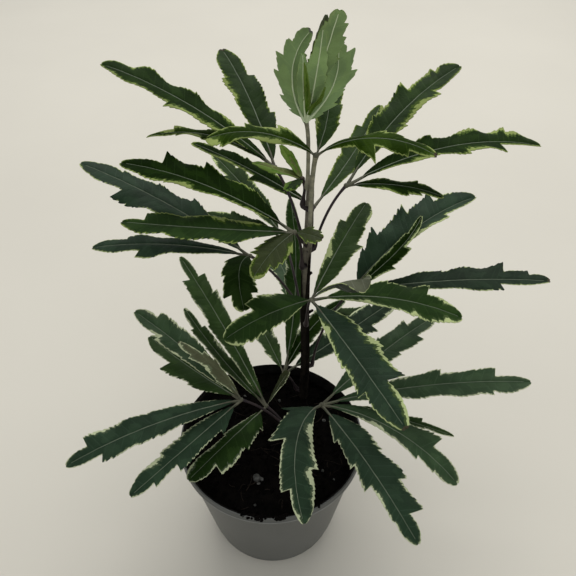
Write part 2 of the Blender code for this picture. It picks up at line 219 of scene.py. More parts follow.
# %% A helper for every surface of the plant and its pot
def surface(name, dark, light, patch, rough, specular, dent=0.0, grain=0.001, cells=0.0):
    """A Principled material. patch and grain are the sizes, in metres, of its tint's patches
    and of its fine relief, dent is how strongly that relief shows, and cells adds a net."""
    material = bpy.data.materials.new(name)
    material.use_nodes = True
    tree = material.node_tree
    shader = tree.nodes["Principled BSDF"]
    shader.inputs["Specular IOR Level"].default_value = specular
    place = tree.nodes.new("ShaderNodeTexCoord")

    cloud = tree.nodes.new("ShaderNodeTexNoise")
    cloud.inputs["Scale"].default_value = 1 / patch
    cloud.inputs["Detail"].default_value = 4.0
    tree.links.new(place.outputs["Object"], cloud.inputs["Vector"])
    tint = tree.nodes.new("ShaderNodeValToRGB")
    tint.color_ramp.elements[0].position = 0.32
    tint.color_ramp.elements[0].color = (*dark, 1)
    tint.color_ramp.elements[1].position = 0.68
    tint.color_ramp.elements[1].color = (*light, 1)
    tree.links.new(cloud.outputs["Fac"], tint.inputs["Fac"])
    tree.links.new(tint.outputs["Color"], shader.inputs["Base Color"])

    gloss = tree.nodes.new("ShaderNodeMapRange")
    gloss.inputs["To Min"].default_value = rough[0]
    gloss.inputs["To Max"].default_value = rough[1]
    tree.links.new(cloud.outputs["Fac"], gloss.inputs["Value"])
    tree.links.new(gloss.outputs["Result"], shader.inputs["Roughness"])

    fine = tree.nodes.new("ShaderNodeTexNoise")
    fine.inputs["Scale"].default_value = 1 / grain
    fine.inputs["Detail"].default_value = 3.0
    tree.links.new(place.outputs["Object"], fine.inputs["Vector"])
    relief = fine.outputs["Fac"]
    if cells:
        net = tree.nodes.new("ShaderNodeTexVoronoi")
        net.feature = "DISTANCE_TO_EDGE"
        net.inputs["Scale"].default_value = 1 / cells
        tree.links.new(place.outputs["Object"], net.inputs["Vector"])
        both = tree.nodes.new("ShaderNodeMath")
        both.operation = "MULTIPLY_ADD"
        both.inputs[1].default_value = 1.4
        tree.links.new(net.outputs["Distance"], both.inputs[0])
        tree.links.new(fine.outputs["Fac"], both.inputs[2])
        relief = both.outputs["Value"]
    bump = tree.nodes.new("ShaderNodeBump")
    bump.inputs["Strength"].default_value = dent
    bump.inputs["Distance"].default_value = grain / 2
    tree.links.new(relief, bump.inputs["Height"])
    tree.links.new(bump.outputs["Normal"], shader.inputs["Normal"])
    return material


# %% The leaf colours
# Grown leaflets differ in tint from one to the next, and the cream differs with the height of
# the leaf. Two tints carry painted light: grey is a painted sheen, lighter and greyer, on
# leaflets that face the light, and dark is painted shade on leaflets that lie in the shade of
# others or face away from the light. Each tint has two greens and a vein colour, each age has
# its shade between green and cream, its cream and its dry tip, and all of them come once more
# from beneath.
EDGE_SLOTS = ("shade", "cream", "tip")
TINT_SLOTS = ("deep", "mid", "vein")
SHADE, CREAM, TIP, DEEP, MID, VEIN = range(6)

TINTS = {
    # Painted sheen: the grey tint is lighter and greyer than the others, for leaflets that face the
    # light.
    "grey": dict(deep=(0.0255, 0.0495, 0.0210), mid=(0.0325, 0.0600, 0.0258),
                 vein=(0.040, 0.070, 0.034), sheen=0.085),
    "blue": dict(deep=(0.0155, 0.0325, 0.0165), mid=(0.0210, 0.0420, 0.0215),
                 vein=(0.026, 0.048, 0.028), sheen=0.065),
    "slate": dict(deep=(0.0105, 0.0215, 0.0105), mid=(0.0150, 0.0290, 0.0145),
                  vein=(0.019, 0.035, 0.018), sheen=0.05),
    "green": dict(deep=(0.0215, 0.0430, 0.0108), mid=(0.0285, 0.0540, 0.0142),
                  vein=(0.035, 0.062, 0.020), sheen=0.055),
    "fern": dict(deep=(0.0150, 0.0300, 0.0080), mid=(0.0205, 0.0390, 0.0105),
                 vein=(0.025, 0.046, 0.014), sheen=0.035),
    "olive": dict(deep=(0.0130, 0.0305, 0.0060), mid=(0.0185, 0.0405, 0.0082),
                  vein=(0.023, 0.047, 0.011), sheen=0.030),
    "moss": dict(deep=(0.0090, 0.0205, 0.0036), mid=(0.0130, 0.0280, 0.0052),
                 vein=(0.017, 0.034, 0.008), sheen=0.014),
    # Painted shade: the dark tint darkens leaflets that lie in the shade of others or face away from
    # the light.
    "dark": dict(deep=(0.0055, 0.0145, 0.0014), mid=(0.0085, 0.0210, 0.0022),
                 vein=(0.012, 0.027, 0.005), sheen=0.010),
    "bright": dict(deep=(0.0115, 0.0265, 0.0010), mid=(0.0175, 0.0370, 0.0016),
                   vein=(0.024, 0.048, 0.004), sheen=0.012),
    "brown": dict(deep=(0.0200, 0.0250, 0.0100), mid=(0.0270, 0.0320, 0.0135),
                  vein=(0.036, 0.042, 0.022), sheen=0.04),
    "drab": dict(deep=(0.0350, 0.0460, 0.0165), mid=(0.0430, 0.0560, 0.0205),
                 vein=(0.052, 0.066, 0.028), sheen=0.06),
    "dead": dict(deep=(0.040, 0.047, 0.035), mid=(0.056, 0.065, 0.049),
                 vein=(0.090, 0.098, 0.080), sheen=0.06),
    "young": dict(deep=(0.045, 0.098, 0.008), mid=(0.062, 0.122, 0.010),
                  vein=(0.075, 0.130, 0.020), sheen=0.05),
    "pale": dict(deep=(0.095, 0.115, 0.034), mid=(0.125, 0.145, 0.044),
                 vein=(0.150, 0.165, 0.070), sheen=0.05),
}
EDGES = {
    "low": dict(shade=(0.050, 0.072, 0.038), cream=(0.40, 0.44, 0.27), tip=(0.046, 0.040, 0.026)),
    "middle": dict(shade=(0.045, 0.072, 0.022), cream=(0.36, 0.42, 0.19),
                   tip=(0.046, 0.040, 0.024)),
    "upper": dict(shade=(0.042, 0.074, 0.010), cream=(0.215, 0.265, 0.078),
                  tip=(0.042, 0.036, 0.020)),
    "young": dict(shade=(0.058, 0.118, 0.012), cream=(0.090, 0.145, 0.024),
                  tip=(0.020, 0.014, 0.012)),
}
TINT_OF_AGE = {"low": "blue", "middle": "green", "upper": "olive", "young": "young"}
BENEATH = {"grown": (0.9, (0.060, 0.062, 0.036)), "young": (1.1, (0.126, 0.152, 0.100))}
AGE_OF_LEAF = {"leaf_young": "young", "leaf_top": "young"}
UPPER_FROM = 0.180
MIDDLE_FROM = 0.100


def age_of(leaf):
    if leaf.name in AGE_OF_LEAF:
        return AGE_OF_LEAF[leaf.name]
    if leaf.height >= UPPER_FROM:
        return "upper"
    return "middle" if leaf.height >= MIDDLE_FROM and leaf.shoot == "main" else "low"


def tinted(name, colour, rough, specular):
    """A leaf surface whose tint varies by a fifth about its colour, with a net of veinlets."""
    dark = tuple(channel * 0.82 for channel in colour)
    light = tuple(channel * 1.22 for channel in colour)
    return surface(name, dark, light, patch=0.012, rough=rough, specular=specular,
                   dent=0.35, grain=0.0006, cells=0.0016)


def both_sides(name, colour, sheen, beneath):
    """The material of one slot from above, and the duller one from beneath."""
    gain, added = BENEATH[beneath]
    dull = tuple(channel * gain + more for channel, more in zip(colour, added))
    return (tinted(name, colour, (0.40, 0.56), sheen),
            tinted(name + "_beneath", dull, (0.6, 0.75), 0.06))


tint_pairs = {}
for tint, parts in TINTS.items():
    for slot in TINT_SLOTS:
        tint_pairs[tint, slot] = both_sides(f"leaf_{tint}_{slot}", parts[slot], parts["sheen"],
                                            "young" if tint == "young" else "grown")


edge_pairs = {}
for age, parts in EDGES.items():
    for slot in EDGE_SLOTS:
        edge_pairs[age, slot] = both_sides(f"leaf_{age}_{slot}", parts[slot],
                                           TINTS[TINT_OF_AGE[age]]["sheen"],
                                           "young" if age == "young" else "grown")


def blade_materials(age, tints):
    """The slots of one leaf: its age's edges, its tints, and then all of them from beneath."""
    pairs = [edge_pairs[age, slot] for slot in EDGE_SLOTS]
    pairs += [tint_pairs[tint, slot] for tint in tints for slot in TINT_SLOTS]
    return [above for above, below in pairs] + [below for above, below in pairs]


print("Leaf materials:", 2 * (len(tint_pairs) + len(edge_pairs)))

# %% [markdown]
# ## How leaflets differ
#
# No two leaflets of this plant are alike. One is blue-green with a thin pale line for its edge,
# its neighbour is olive with a broad cream band, and each has its large teeth in other places.
# A random draw gives that variety but never this plant, so the leaflets that the photograph
# shows plainly are described one by one, and the draw serves the others. Left and right are
# those of somebody who looks from the hub towards the leaflet's tip. A large tooth is told by
# the share of the length where its point lies, by how far it reaches there, and by how far the
# blade reaches just past its notch, both counted in half widths of the leaflet.

# %% The leaflets one by one
Edge = namedtuple("Edge", "cream teeth start end")
Habit = namedtuple("Habit", "tint left right fold twist")
COMMON_CREAM = 0.7


def edge(cream=COMMON_CREAM, *teeth, start=0.0, end=1.0):
    """One side: how creamy it is, most of all from start to end, and its large teeth."""
    return Edge(cream, teeth, start, end)


def habit(tint=None, left=edge(), right=edge(), fold=None, twist=0):
    """A whole leaflet: fold is the V of its two halves, twist turns it back towards its foot."""
    return Habit(tint, left, right, fold, twist)


HABITS = {
    "leaf_pot_front 0": habit(
        "blue", edge(1.6, (0.68, 1.10, 0.80), start=0.30, end=0.92),
        edge(1.2, (0.27, 1.40, 0.90), (0.50, 1.40, 0.65), (0.80, 0.75, 0.30), start=0.40,
             end=0.86), 0.05),
    "leaf_pot_front 1": habit(
        "blue", edge(0.8, (0.26, 0.97, 0.90), (0.45, 1.15, 0.95), (0.67, 1.35, 0.97),
                     (0.86, 1.10, 0.42)),
        edge(0.8, (0.28, 0.75, 0.52), (0.47, 0.86, 0.60), (0.62, 0.90, 0.50), (0.84, 0.50, 0.42))),
    "leaf_pot_front 2": habit(
        "grey", edge(1.1, (0.55, 1.0, 0.9), (0.77, 1.35, 0.60), start=0.72),
        edge(1.3, (0.53, 0.50, 0.45), (0.71, 0.78, 0.52), (0.84, 0.64, 0.55), start=0.24,
             end=0.62)),
    "leaf_pot_front 3": habit(
        "grey", edge(0.8, (0.60, 0.88, 0.62), (0.85, 0.81, 0.30), start=0.30, end=0.80),
        edge(0.4, (0.52, 0.85, 0.80), (0.82, 0.94, 0.70))),
    "leaf_pot_front 4": habit("grey"),
    "leaf_pot_front 5": habit("green", edge(0.1), edge(0.1), 0.3),
    "leaf_pot_left 0": habit(
        "blue", edge(0.1, (0.48, 0.74, 0.66), (0.60, 0.82, 0.74), (0.80, 0.82, 0.40)),
        edge(1.7, (0.36, 0.61, 0.55), (0.50, 0.80, 0.74), (0.875, 0.96, 0.38), start=0.66,
             end=0.84)),
    "leaf_pot_left 1": habit(
        "blue", edge(0.2, (0.28, 0.90, 0.65), (0.65, 0.90, 0.48), (0.83, 0.65, 0.36)),
        edge(1.4, (0.475, 0.85, 0.70), (0.68, 0.74, 0.60), start=0.25, end=0.78)),
    "leaf_pot_left 2": habit("green", edge(0.2, (0.40, 1.2, 1.05), (0.675, 1.30, 0.62)), edge(1.1)),
    "leaf_pot_left 3": habit(
        "grey", edge(1.0, (0.50, 0.80, 0.72), (0.725, 0.92, 0.55), start=0.4, end=0.8),
        edge(0.7, (0.66, 1.25, 1.05), (0.85, 1.07, 0.62))),
    "leaf_pot_left 4": habit("brown", edge(0.5), edge(0.8), 0.35),
    "leaf_low_left 0": habit(
        "green", edge(0.4, (0.54, 0.90, 0.78), (0.84, 0.88, 0.34)),
        edge(0.6, (0.35, 0.54, 0.50), (0.71, 0.91, 0.62), (0.84, 0.86, 0.35), start=0.48,
             end=0.72)),
    "leaf_low_left 1": habit("green"),
    "leaf_low_left 2": habit(
        "olive", edge(0.6, (0.24, 0.98, 0.80), (0.48, 1.30, 1.08), (0.775, 1.25, 0.60)),
        edge(0.8, (0.50, 0.55, 0.42), (0.84, 0.58, 0.50))),
    "leaf_low_left 3": habit("brown", edge(-1.0, (0.80, 1.0, 0.85)),
                             edge(0.0, (0.72, 0.9, 0.7)), 0.3),
    "leaf_stem_foot 0": habit("green"),
    "leaf_stem_foot 1": habit("olive"),
    "leaf_stem_foot 2": habit("dark"),
    "leaf_stem_foot 3": habit("slate"),
    "leaf_low_back 0": habit("grey"),
    "leaf_low_back 1": habit("olive"),
    "leaf_low_back 2": habit("fern"),
    "leaf_front 0": habit(
        "olive", edge(1.0, (0.42, 0.95, 0.86), (0.60, 1.25, 1.12), (0.80, 1.02, 0.88)),
        edge(1.0, (0.31, 1.18, 1.08), (0.64, 1.30, 0.58))),
    "leaf_front 1": habit(
        "green", edge(1.4, (0.54, 0.72, 0.68), (0.75, 0.95, 0.50), start=0.20, end=0.65),
        edge(0.4, (0.27, 0.80, 0.75), (0.575, 1.32, 0.92), (0.74, 0.90, 0.78))),
    "leaf_front 2": habit(
        "olive", edge(0.9, (0.50, 1.08, 0.95), (0.77, 1.30, 0.68)),
        edge(1.2, (0.47, 0.62, 0.58), (0.66, 0.97, 0.85))),
    "leaf_front 3": habit(
        "blue", edge(1.8, (0.35, 1.15, 1.0), (0.53, 1.30, 1.10), (0.74, 1.35, 0.55), start=0.27,
                     end=0.68),
        edge(1.3, (0.54, 0.85, 0.72), (0.73, 1.0, 0.65), start=0.15, end=0.60)),
    "leaf_front 4": habit(
        "dead", edge(0.0, (0.50, 0.24, 0.22), (0.66, 1.35, 1.3)),
        edge(0.0, (0.46, 0.24, 0.22), (0.62, 1.35, 1.3)), 0.6, 210),
    "leaf_right 0": habit(
        "blue", edge(0.1, (0.24, 1.05, 0.80), (0.36, 1.36, 0.86), (0.575, 1.32, 0.86),
                     (0.76, 1.25, 0.65)),
        edge(1.3, (0.40, 0.88, 0.45), (0.725, 0.64, 0.40), start=0.50, end=0.78), 0.35),
    "leaf_right 1": habit(
        "slate", edge(0.05, (0.475, 1.02, 0.84), (0.79, 1.28, 0.60), (0.91, 0.88, 0.45)),
        edge(0.05, (0.75, 0.85, 0.37))),
    "leaf_right 2": habit(
        "dark", edge(0.2, (0.46, 0.85, 0.74), (0.74, 0.60, 0.34)),
        edge(1.3, (0.42, 1.25, 0.85), (0.62, 1.05, 0.42), start=0.60, end=0.80), 0.15),
    "leaf_left 0": habit(
        "blue", edge(0.2, (0.55, 1.0, 0.95), (0.74, 1.37, 0.58)),
        edge(0.1, (0.41, 1.27, 1.05), (0.60, 1.0, 0.85), (0.79, 0.78, 0.62))),
    "leaf_left 1": habit(
        "blue", edge(0.15, (0.35, 0.61, 0.58), (0.68, 1.15, 0.60)),
        edge(0.15, (0.54, 0.76, 0.72), (0.79, 0.95, 0.60))),
    "leaf_left 2": habit("moss", edge(0.5), edge(0.3)),
    "leaf_back 0": habit("fern"),
    "leaf_back 1": habit("fern"),
    "leaf_middle_left 0": habit(
        "dark", edge(0.9, (0.39, 0.50, 0.46), (0.70, 0.92, 0.80), start=0.25, end=0.70),
        edge(0.3, (0.30, 1.05, 0.90), (0.58, 1.35, 1.0), (0.80, 1.30, 0.50))),
    "leaf_middle_left 1": habit(
        "olive", edge(0.2, (0.40, 1.15, 1.05), (0.70, 0.85, 0.75)),
        edge(1.0, (0.42, 0.85, 0.75), (0.64, 0.90, 0.75), (0.88, 0.85, 0.25), start=0.20,
             end=0.50)),
    "leaf_middle_left 2": habit("drab", edge(1.0), edge(1.2)),
    "leaf_middle_left 3": habit("drab", edge(0.5, (0.56, 1.05, 0.75), (0.86, 0.90, 0.50)),
                                edge(0.3, (0.60, 1.0, 0.75), (0.88, 0.85, 0.45)), 0.1),
    "leaf_upper_left 0": habit(
        "fern", edge(1.6, (0.54, 0.92, 0.88), (0.74, 1.02, 0.78), start=0.50, end=0.76),
        edge(0.5, (0.40, 1.25, 0.95), (0.72, 1.10, 0.64), start=0.80)),
    "leaf_upper_left 1": habit(
        "moss", edge(2.0, (0.60, 1.1, 0.75), start=0.30, end=0.62),
        edge(1.0, (0.41, 0.97, 0.92), (0.53, 1.30, 1.10), (0.86, 1.35, 0.95))),
    "leaf_upper_left 2": habit("bright"),
    "leaf_upper_back 0": habit("green"),
    "leaf_upper_back 1": habit("dark", edge(0.3, (0.46, 1.0, 0.38), (0.90, 0.45, 0.35)),
                               edge(0.3)),
    "leaf_upper_right 0": habit(
        "fern", edge(0.8, (0.42, 1.1, 0.95), (0.67, 1.37, 0.70), (0.87, 1.0, 0.65)),
        edge(1.6, (0.46, 0.92, 0.75), (0.74, 0.94, 0.62), start=0.40, end=0.76)),
    "leaf_upper_right 1": habit(
        "moss", edge(1.0, (0.46, 1.25, 1.0), (0.84, 1.4, 0.9)),
        edge(0.8, (0.58, 0.92, 0.75), (0.76, 1.05, 0.35))),
    "leaf_upper_right 2": habit("dark", edge(1.2), edge(0.5)),
    "leaf_top_front 0": habit(
        "bright", edge(1.0, (0.45, 0.85, 0.82), (0.86, 1.15, 0.9)),
        edge(1.0, (0.40, 1.20, 0.80), (0.68, 1.15, 0.55))),
    "leaf_top_front 1": habit(
        "bright", edge(1.0),
        edge(1.1, (0.38, 0.62, 0.60), (0.47, 1.45, 1.40), (0.58, 1.95, 0.75), (0.80, 0.9, 0.5),
             start=0.44, end=0.60), -0.1),
    "leaf_top_front 2": habit("green"),
    "leaf_young 0": habit("pale", edge(1.4), edge(1.4)),
    "leaf_young 1": habit("pale", edge(1.0), edge(1.0)),
    "leaf_young 2": habit("fern", edge(0.4), edge(0.4)),
    "leaf_top 0": habit(
        None, edge(0.1, (0.35, 0.80, 0.68), (0.56, 0.76, 0.46), (0.76, 0.52, 0.34)),
        edge(0.3, (0.16, 0.62, 0.42), (0.30, 0.90, 0.62), (0.50, 1.12, 0.80), (0.66, 1.0, 0.66),
             (0.80, 0.72, 0.44)), 0.06),
    "leaf_top 1": habit(None, edge(0.1), edge(0.1), 0.06),
    "leaf_top 2": habit(
        None, edge(0.2, (0.35, 0.66, 0.52), (0.60, 0.92, 0.72), (0.78, 0.90, 0.68),
                   (0.89, 0.74, 0.50)),
        edge(0.3, (0.30, 0.74, 0.66), (0.56, 0.96, 0.78), (0.74, 0.86, 0.62), (0.88, 0.62, 0.40)),
        0.06),
    "leaf_top 3": habit(
        None, edge(0.3, (0.20, 0.58, 0.40), (0.36, 1.02, 0.70), (0.52, 0.88, 0.72),
                   (0.72, 1.20, 0.82), (0.90, 1.10, 0.50)),
        edge(0.1, (0.40, 0.80, 0.66), (0.70, 0.80, 0.60)), 0.06),
    "leaf_top 4": habit(None, edge(0.1), edge(0.1), 0.3),
    "leaf_top 5": habit("drab", edge(-1.0), edge(-1.0), 0.3),
}
UNTOLD = habit()
print(len(HABITS), "leaflets are described one by one")

# %% [markdown]
# ## The outline of a leaflet
#
# A leaflet starts as a narrow wing along its little stalk and widens evenly to a large tooth
# that points forward. Past each large tooth the edge falls back and widens again to the next,
# and past the last one the leaflet ends in a blunt lobe. Fine teeth run along all of it. One
# way would be to draw that outline and fill it. Here a grid is stretched over it instead,
# because its rows can then run along the side veins, slanting forward from the rib: the edge
# of a notch is the line where long rows give way to short ones, and it slants as on the leaf.

# %% The teeth and veins of one side
VEIN_EVERY = 0.0058
CLOSEST_VEINS = 0.0025
FIRST_VEIN_AT = (0.08, 0.13)
BIG_TEETH = (((0.34, 0.46), (0.84, 0.98), (0.10, 0.20)), ((0.54, 0.62), (0.92, 1.04), (0.12, 0.24)),
             ((0.70, 0.80), (0.92, 1.06), (0.34, 0.50)))
NOTCH_EVERY = 0.0028
NOTCH_DROP = (0.03, 0.12)
YOUNG_NOTCH_EVERY = 0.0045
YOUNG_NOTCH_DROP = (0.09, 0.17)
NOTCH_HEALS = 0.8
LEAN = 0.55
SLANT_AT_BASE = 0.70
SLANT_AT_TIP = 0.40

Side = namedtuple("Side", "teeth notches veins seed young wing")
Tooth = namedtuple("Tooth", "place share row reach after")


def slant(row):
    """How far a row runs forward for each metre that it runs outward."""
    return SLANT_AT_BASE + (SLANT_AT_TIP - SLANT_AT_BASE) * row


def big_tooth(blade, share, reach, after):
    """A large tooth with the row that ends in its point and its place between row and share."""
    row = share
    for _ in range(3):
        row = share - slant(row) * reach * blade.width / 2 / blade.length
    return Tooth(row + LEAN * (share - row), share, row, reach, after)


def grow_side(chance, blade, told, young, wing):
    """One side of a leaflet: its large teeth as told or drawn, then small notches and veins."""
    big = list(told.teeth)
    if not big and not young:
        for shares, reaches, drops in BIG_TEETH:
            reach = chance.uniform(*reaches)
            big.append((chance.uniform(*shares), reach, reach - chance.uniform(*drops)))
    teeth = [big_tooth(blade, *tooth) for tooth in big]
    every, drops = NOTCH_EVERY, NOTCH_DROP
    if not big:
        every, drops = YOUNG_NOTCH_EVERY, YOUNG_NOTCH_DROP
    notches = []
    place = wing + every / blade.length
    while place < 0.97:
        gap = every / blade.length * chance.uniform(0.7, 1.3)
        notches.append((place, chance.uniform(*drops), gap * NOTCH_HEALS))
        place += gap
    veins = [tooth.row for tooth in teeth]
    row = chance.uniform(*FIRST_VEIN_AT)
    while row < 0.93:
        if all(abs(row - other) * blade.length > CLOSEST_VEINS for other in veins):
            veins.append(row)
        row += VEIN_EVERY / blade.length * chance.uniform(0.8, 1.2)
    return Side(teeth, notches, sorted(veins), chance.uniform(0, 100), young, wing)


# %% The outline's reach
WING_END = (0.045, 0.105)
YOUNG_WING_END = (0.02, 0.04)
WING_REACH = 0.06
FIRST_CLIMB = 0.75
RAGGED = 0.03
RAGGED_EVERY = 0.0026


def body_reach(side, place, share):
    """The outline without its small notches, in half widths of the leaflet."""
    if place <= side.wing:
        return WING_REACH
    if not side.teeth:
        grown = (min(share, 1.0) - side.wing) / (1 - side.wing)
        return WING_REACH + (1 - WING_REACH) * math.sin(math.pi * grown ** 0.92) ** 0.72
    start, low, climb = side.wing, WING_REACH, FIRST_CLIMB
    for tooth in side.teeth:
        if place < tooth.place:
            return low + (tooth.reach - low) * ((place - start) / (tooth.place - start)) ** climb
        start, low, climb = tooth.place, tooth.after, 1.0
    past = min(max((share - tooth.share) / (1 - tooth.share), 0.0), 1.0)
    return low * (1 + 0.15 * math.sin(math.pi * past)) * math.sqrt(1 - past ** 2.4)


def notch_depth(side, place):
    """How much the small notch just behind a place still takes from the outline."""
    index = bisect.bisect(side.notches, (place,)) - 1
    if index < 0:
        return 0.0
    start, drop, heals = side.notches[index]
    return drop * max(1 - (place - start) / heals, 0.0)


def side_reach(side, blade, row, share):
    """The outline where a row of the grid, which starts at its own place, crosses a share."""
    place = row + LEAN * (share - row)
    ragged = noise.noise(Vector((place * blade.length / RAGGED_EVERY, side.seed, 0.5)))
    factor = 1 + RAGGED * ragged - notch_depth(side, place)
    return body_reach(side, place, min(share, 1.0)) * factor


def row_reach(side, blade, row):
    """Where a slanting row meets the outline, in metres from the rib, found by halving."""
    low, high = 0.0, blade.width
    for _ in range(14):
        reach = (low + high) / 2
        share = row + slant(row) * reach / blade.length
        if share < 1 and reach < side_reach(side, blade, row, share) * blade.width / 2:
            low = reach
        else:
            high = reach
    return low


# %% The rows of a leaflet's grid
ROW_STEP = 0.00075
VEIN_HALF = 0.00016
LAST_ROW = 0.0005


def row_places(blade, sides):
    """A close pair of rows at each vein, a row at each notch, and even steps between."""
    edge_of_vein = VEIN_HALF / blade.length
    places = {0.0, 1 - LAST_ROW / blade.length}
    for side in sides:
        for row in side.veins:
            places |= {row - edge_of_vein, row + edge_of_vein}
        for tooth in side.teeth:
            fall = (tooth.reach - tooth.after) * blade.width / 2 / blade.length
            places.add(tooth.row + edge_of_vein + LEAN * slant(tooth.row) * fall)
    fixed = sorted(place for place in places if 0 <= place < 1)
    rows = [fixed[0]]
    for place in fixed[1:]:
        start = rows[-1]
        gap = (place - start) * blade.length
        if gap < VEIN_HALF:
            continue
        steps = max(1, math.ceil(gap / ROW_STEP))
        rows += [start + (place - start) * (step + 1) / steps for step in range(steps)]
    return rows


trial = Blade(0, 0, 0.100)
trial_sides = [grow_side(random.Random(1), trial, edge(), False, 0.06) for _ in range(2)]
print("A 100 mm leaflet has", len(row_places(trial, trial_sides)), "rows")

# %% [markdown]
# ## The blade's surface
#
# Seen close, the blade is folded along its rib, puckered up between its side veins, and
# waved along its edge. The cream is not a drawn line: it follows the edge in a band whose
# width wanders, with a torn inner side that runs along the veins. Both need a place on the
# blade only, so they are worked out for each vertex and each face of the stretched grid.

# %% Relief over one leaflet
COLUMNS = (0.05, 0.12, 0.22, 0.33, 0.44, 0.55, 0.65, 0.74, 0.82, 0.89, 0.95, 1.0)
RIB_STEPS = 72
FOLD = (0.02, 0.22)
EDGE_CURL = 0.12
PUCKER = 0.00013
RIB_GROOVE = 0.00022
WAVE = 0.0012
WAVE_LENGTH = 0.023
WAVE_UP_TO = 1.4


def near_vein(side, row):
    """0 on a side vein and 1 midway between two."""
    index = bisect.bisect(side.veins, row)
    before = side.veins[index - 1] if index else side.veins[0] - 0.06
    after = side.veins[index] if index < len(side.veins) else 1.0
    share = (row - before) / max(after - before, 1e-6)
    return math.sin(math.pi * min(max(share, 0.0), 1.0))


def blade_lift(blade, side, row, out, reach, along, phase, fold):
    """How far a point stands over the rib's plane, at a distance out from the rib."""
    half = blade.width / 2
    width_share = out / half
    outward = out / max(reach, 1e-6)
    lift = out * fold - EDGE_CURL * out * width_share
    lift += PUCKER * near_vein(side, row) * math.sin(math.pi * min(outward, 1.0) ** 0.8)
    lift -= RIB_GROOVE * math.exp(-(out / 0.0008) ** 2)
    wave = math.sin(math.tau * along / WAVE_LENGTH + phase)
    return lift + WAVE * min(width_share, WAVE_UP_TO) ** 2 * wave


# %% Cream, veins and tips over one leaflet
CREAM_LINE = 0.00040
CREAM_PATCH = 0.0036
CREAM_TORN = 0.0007
CREAM_FROM = (0.12, 0.30)
CREAM_ELSEWHERE = 0.3
CREAM_FADES = 0.05
CREAM_EXTRA = 0.0011
SHADE_WIDTH = 0.00050
DRY_TIP = 0.0020


def cream_amount(told, share):
    """How creamy a side is at a share of its length: most of all between its start and end."""
    inside = min((share - told.start) / CREAM_FADES, (told.end - share) / CREAM_FADES)
    inside = min(max(inside + 0.5, 0.0), 1.0)
    return told.cream * (CREAM_ELSEWHERE + (1 - CREAM_ELSEWHERE) * inside)


def cream_width(seed, amount, side_number, along, share):
    """The width of the cream edge at a place along it, in metres."""
    here = Vector((along / 0.013, seed, side_number * 7.3))
    torn = Vector((along / 0.0011, seed + 3.1, side_number * 5.7))
    wander = noise.noise(here) + 0.4 * noise.noise(here * 2.7) - 0.10 + 0.06 * amount
    width = CREAM_LINE * (0.5 + 0.5 * min(amount, 1.2)) + CREAM_PATCH * amount * max(wander, 0.0)
    width += CREAM_EXTRA * max(amount - 1, 0.0)
    width += CREAM_TORN * noise.noise(torn) * min(width / 0.0007, 1.8)
    start, full = CREAM_FROM
    return max(width, 0.0) * min(max((share - start) / (full - start), 0.0), 1.0)


def blade_slot(blade, side, row, out, reach, width, dry):
    """The slot of a face whose middle lies out from the rib, where the blade has that reach."""
    inward = reach - out
    if dry > 0 and (1 - row) * blade.length < dry:
        return TIP
    if inward < width:
        return CREAM
    if inward < width + SHADE_WIDTH * (1 + width / 0.0012) and width > 0.0003:
        return SHADE
    near = bisect.bisect(side.veins, row)
    on_vein = any(abs(row - vein) * blade.length < VEIN_HALF
                  for vein in side.veins[max(near - 1, 0):near + 1])
    if on_vein and out < reach * 0.85:
        return VEIN
    patch = noise.noise(Vector((row * blade.length / 0.009, out / 0.006, blade.heading)))
    return MID if patch > 0.15 else DEEP


# %% Laying one leaflet
def lay_leaflet(shape, hub, blade, name, age, tints):
    """One leaflet added to a leaf's shape: a grid laid along its rib, in its outline."""
    chance = random.Random(name)
    young = age == "young"
    told = HABITS.get(name, UNTOLD)
    edges = (told.right, told.left)
    wing = chance.uniform(*(YOUNG_WING_END if young else WING_END))
    sides = [grow_side(chance, blade, one, young, wing) for one in edges]
    fold = chance.uniform(*FOLD) if told.fold is None else told.fold
    phases = [chance.uniform(0, math.tau) for _ in range(2)]
    seed = chance.uniform(0, 100)
    dry = DRY_TIP * chance.uniform(-0.8, 1.0)
    tint = len(TINT_SLOTS) * tints.index(told.tint or TINT_OF_AGE[age])
    rows = row_places(blade, sides)
    rib = curved_path(hub, blade.heading, blade.rise, blade.length, blade.droop, blade.turn,
                      RIB_STEPS)
    reaches = [[row_reach(side, blade, row) for row in rows] for side in sides]
    per_side = len(COLUMNS)
    made = bmesh.ops.create_grid(shape, x_segments=per_side * 2, y_segments=len(rows) - 1,
                                 size=0.5)
    verts = made["verts"]
    column_of = {vert: round((vert.co.x + 0.5) * per_side * 2) - per_side for vert in verts}
    row_of = {vert: round((vert.co.y + 0.5) * (len(rows) - 1)) for vert in verts}
    faces = {face for vert in verts for face in vert.link_faces}
    for face in faces:
        column = sum(column_of[vert] for vert in face.verts) / 4
        number = 0 if column > 0 else 1
        index = min(row_of[vert] for vert in face.verts)
        row = (rows[index] + rows[index + 1]) / 2
        reach = (reaches[number][index] + reaches[number][index + 1]) / 2
        inner = int(abs(column))
        out = reach * ((COLUMNS[inner - 1] if inner else 0.0) + COLUMNS[inner]) / 2
        along = row * blade.length + slant(row) * reach
        amount = cream_amount(edges[number], along / blade.length)
        width = cream_width(seed, amount, number, along, along / blade.length)
        slot = blade_slot(blade, sides[number], row, out, reach, width, dry)
        face.material_index = slot + (tint if slot >= DEEP else 0)
    for vert in verts:
        column = column_of[vert]
        number = 0 if column > 0 else 1
        row = rows[row_of[vert]]
        reach = reaches[number][row_of[vert]]
        out = reach * (COLUMNS[abs(column) - 1] if column else 0.0)
        along = row * blade.length + slant(row) * out
        point, side, up = rib_frame(rib, blade, along / blade.length, told.twist)
        lift = blade_lift(blade, sides[number], row, out, reach, along, phases[number],
                          fold)
        sideways = out if column > 0 else -out
        vert.co = point - side * sideways + up * lift
    return faces


# %% [markdown]
# ## From a shape to a piece
#
# Every finished shape becomes one object at the origin that rides on the plant's body and
# hides the solids it stands for. Shading is smooth, with sharp edges kept where faces turn
# steeply, so rims and cut ends stay crisp.


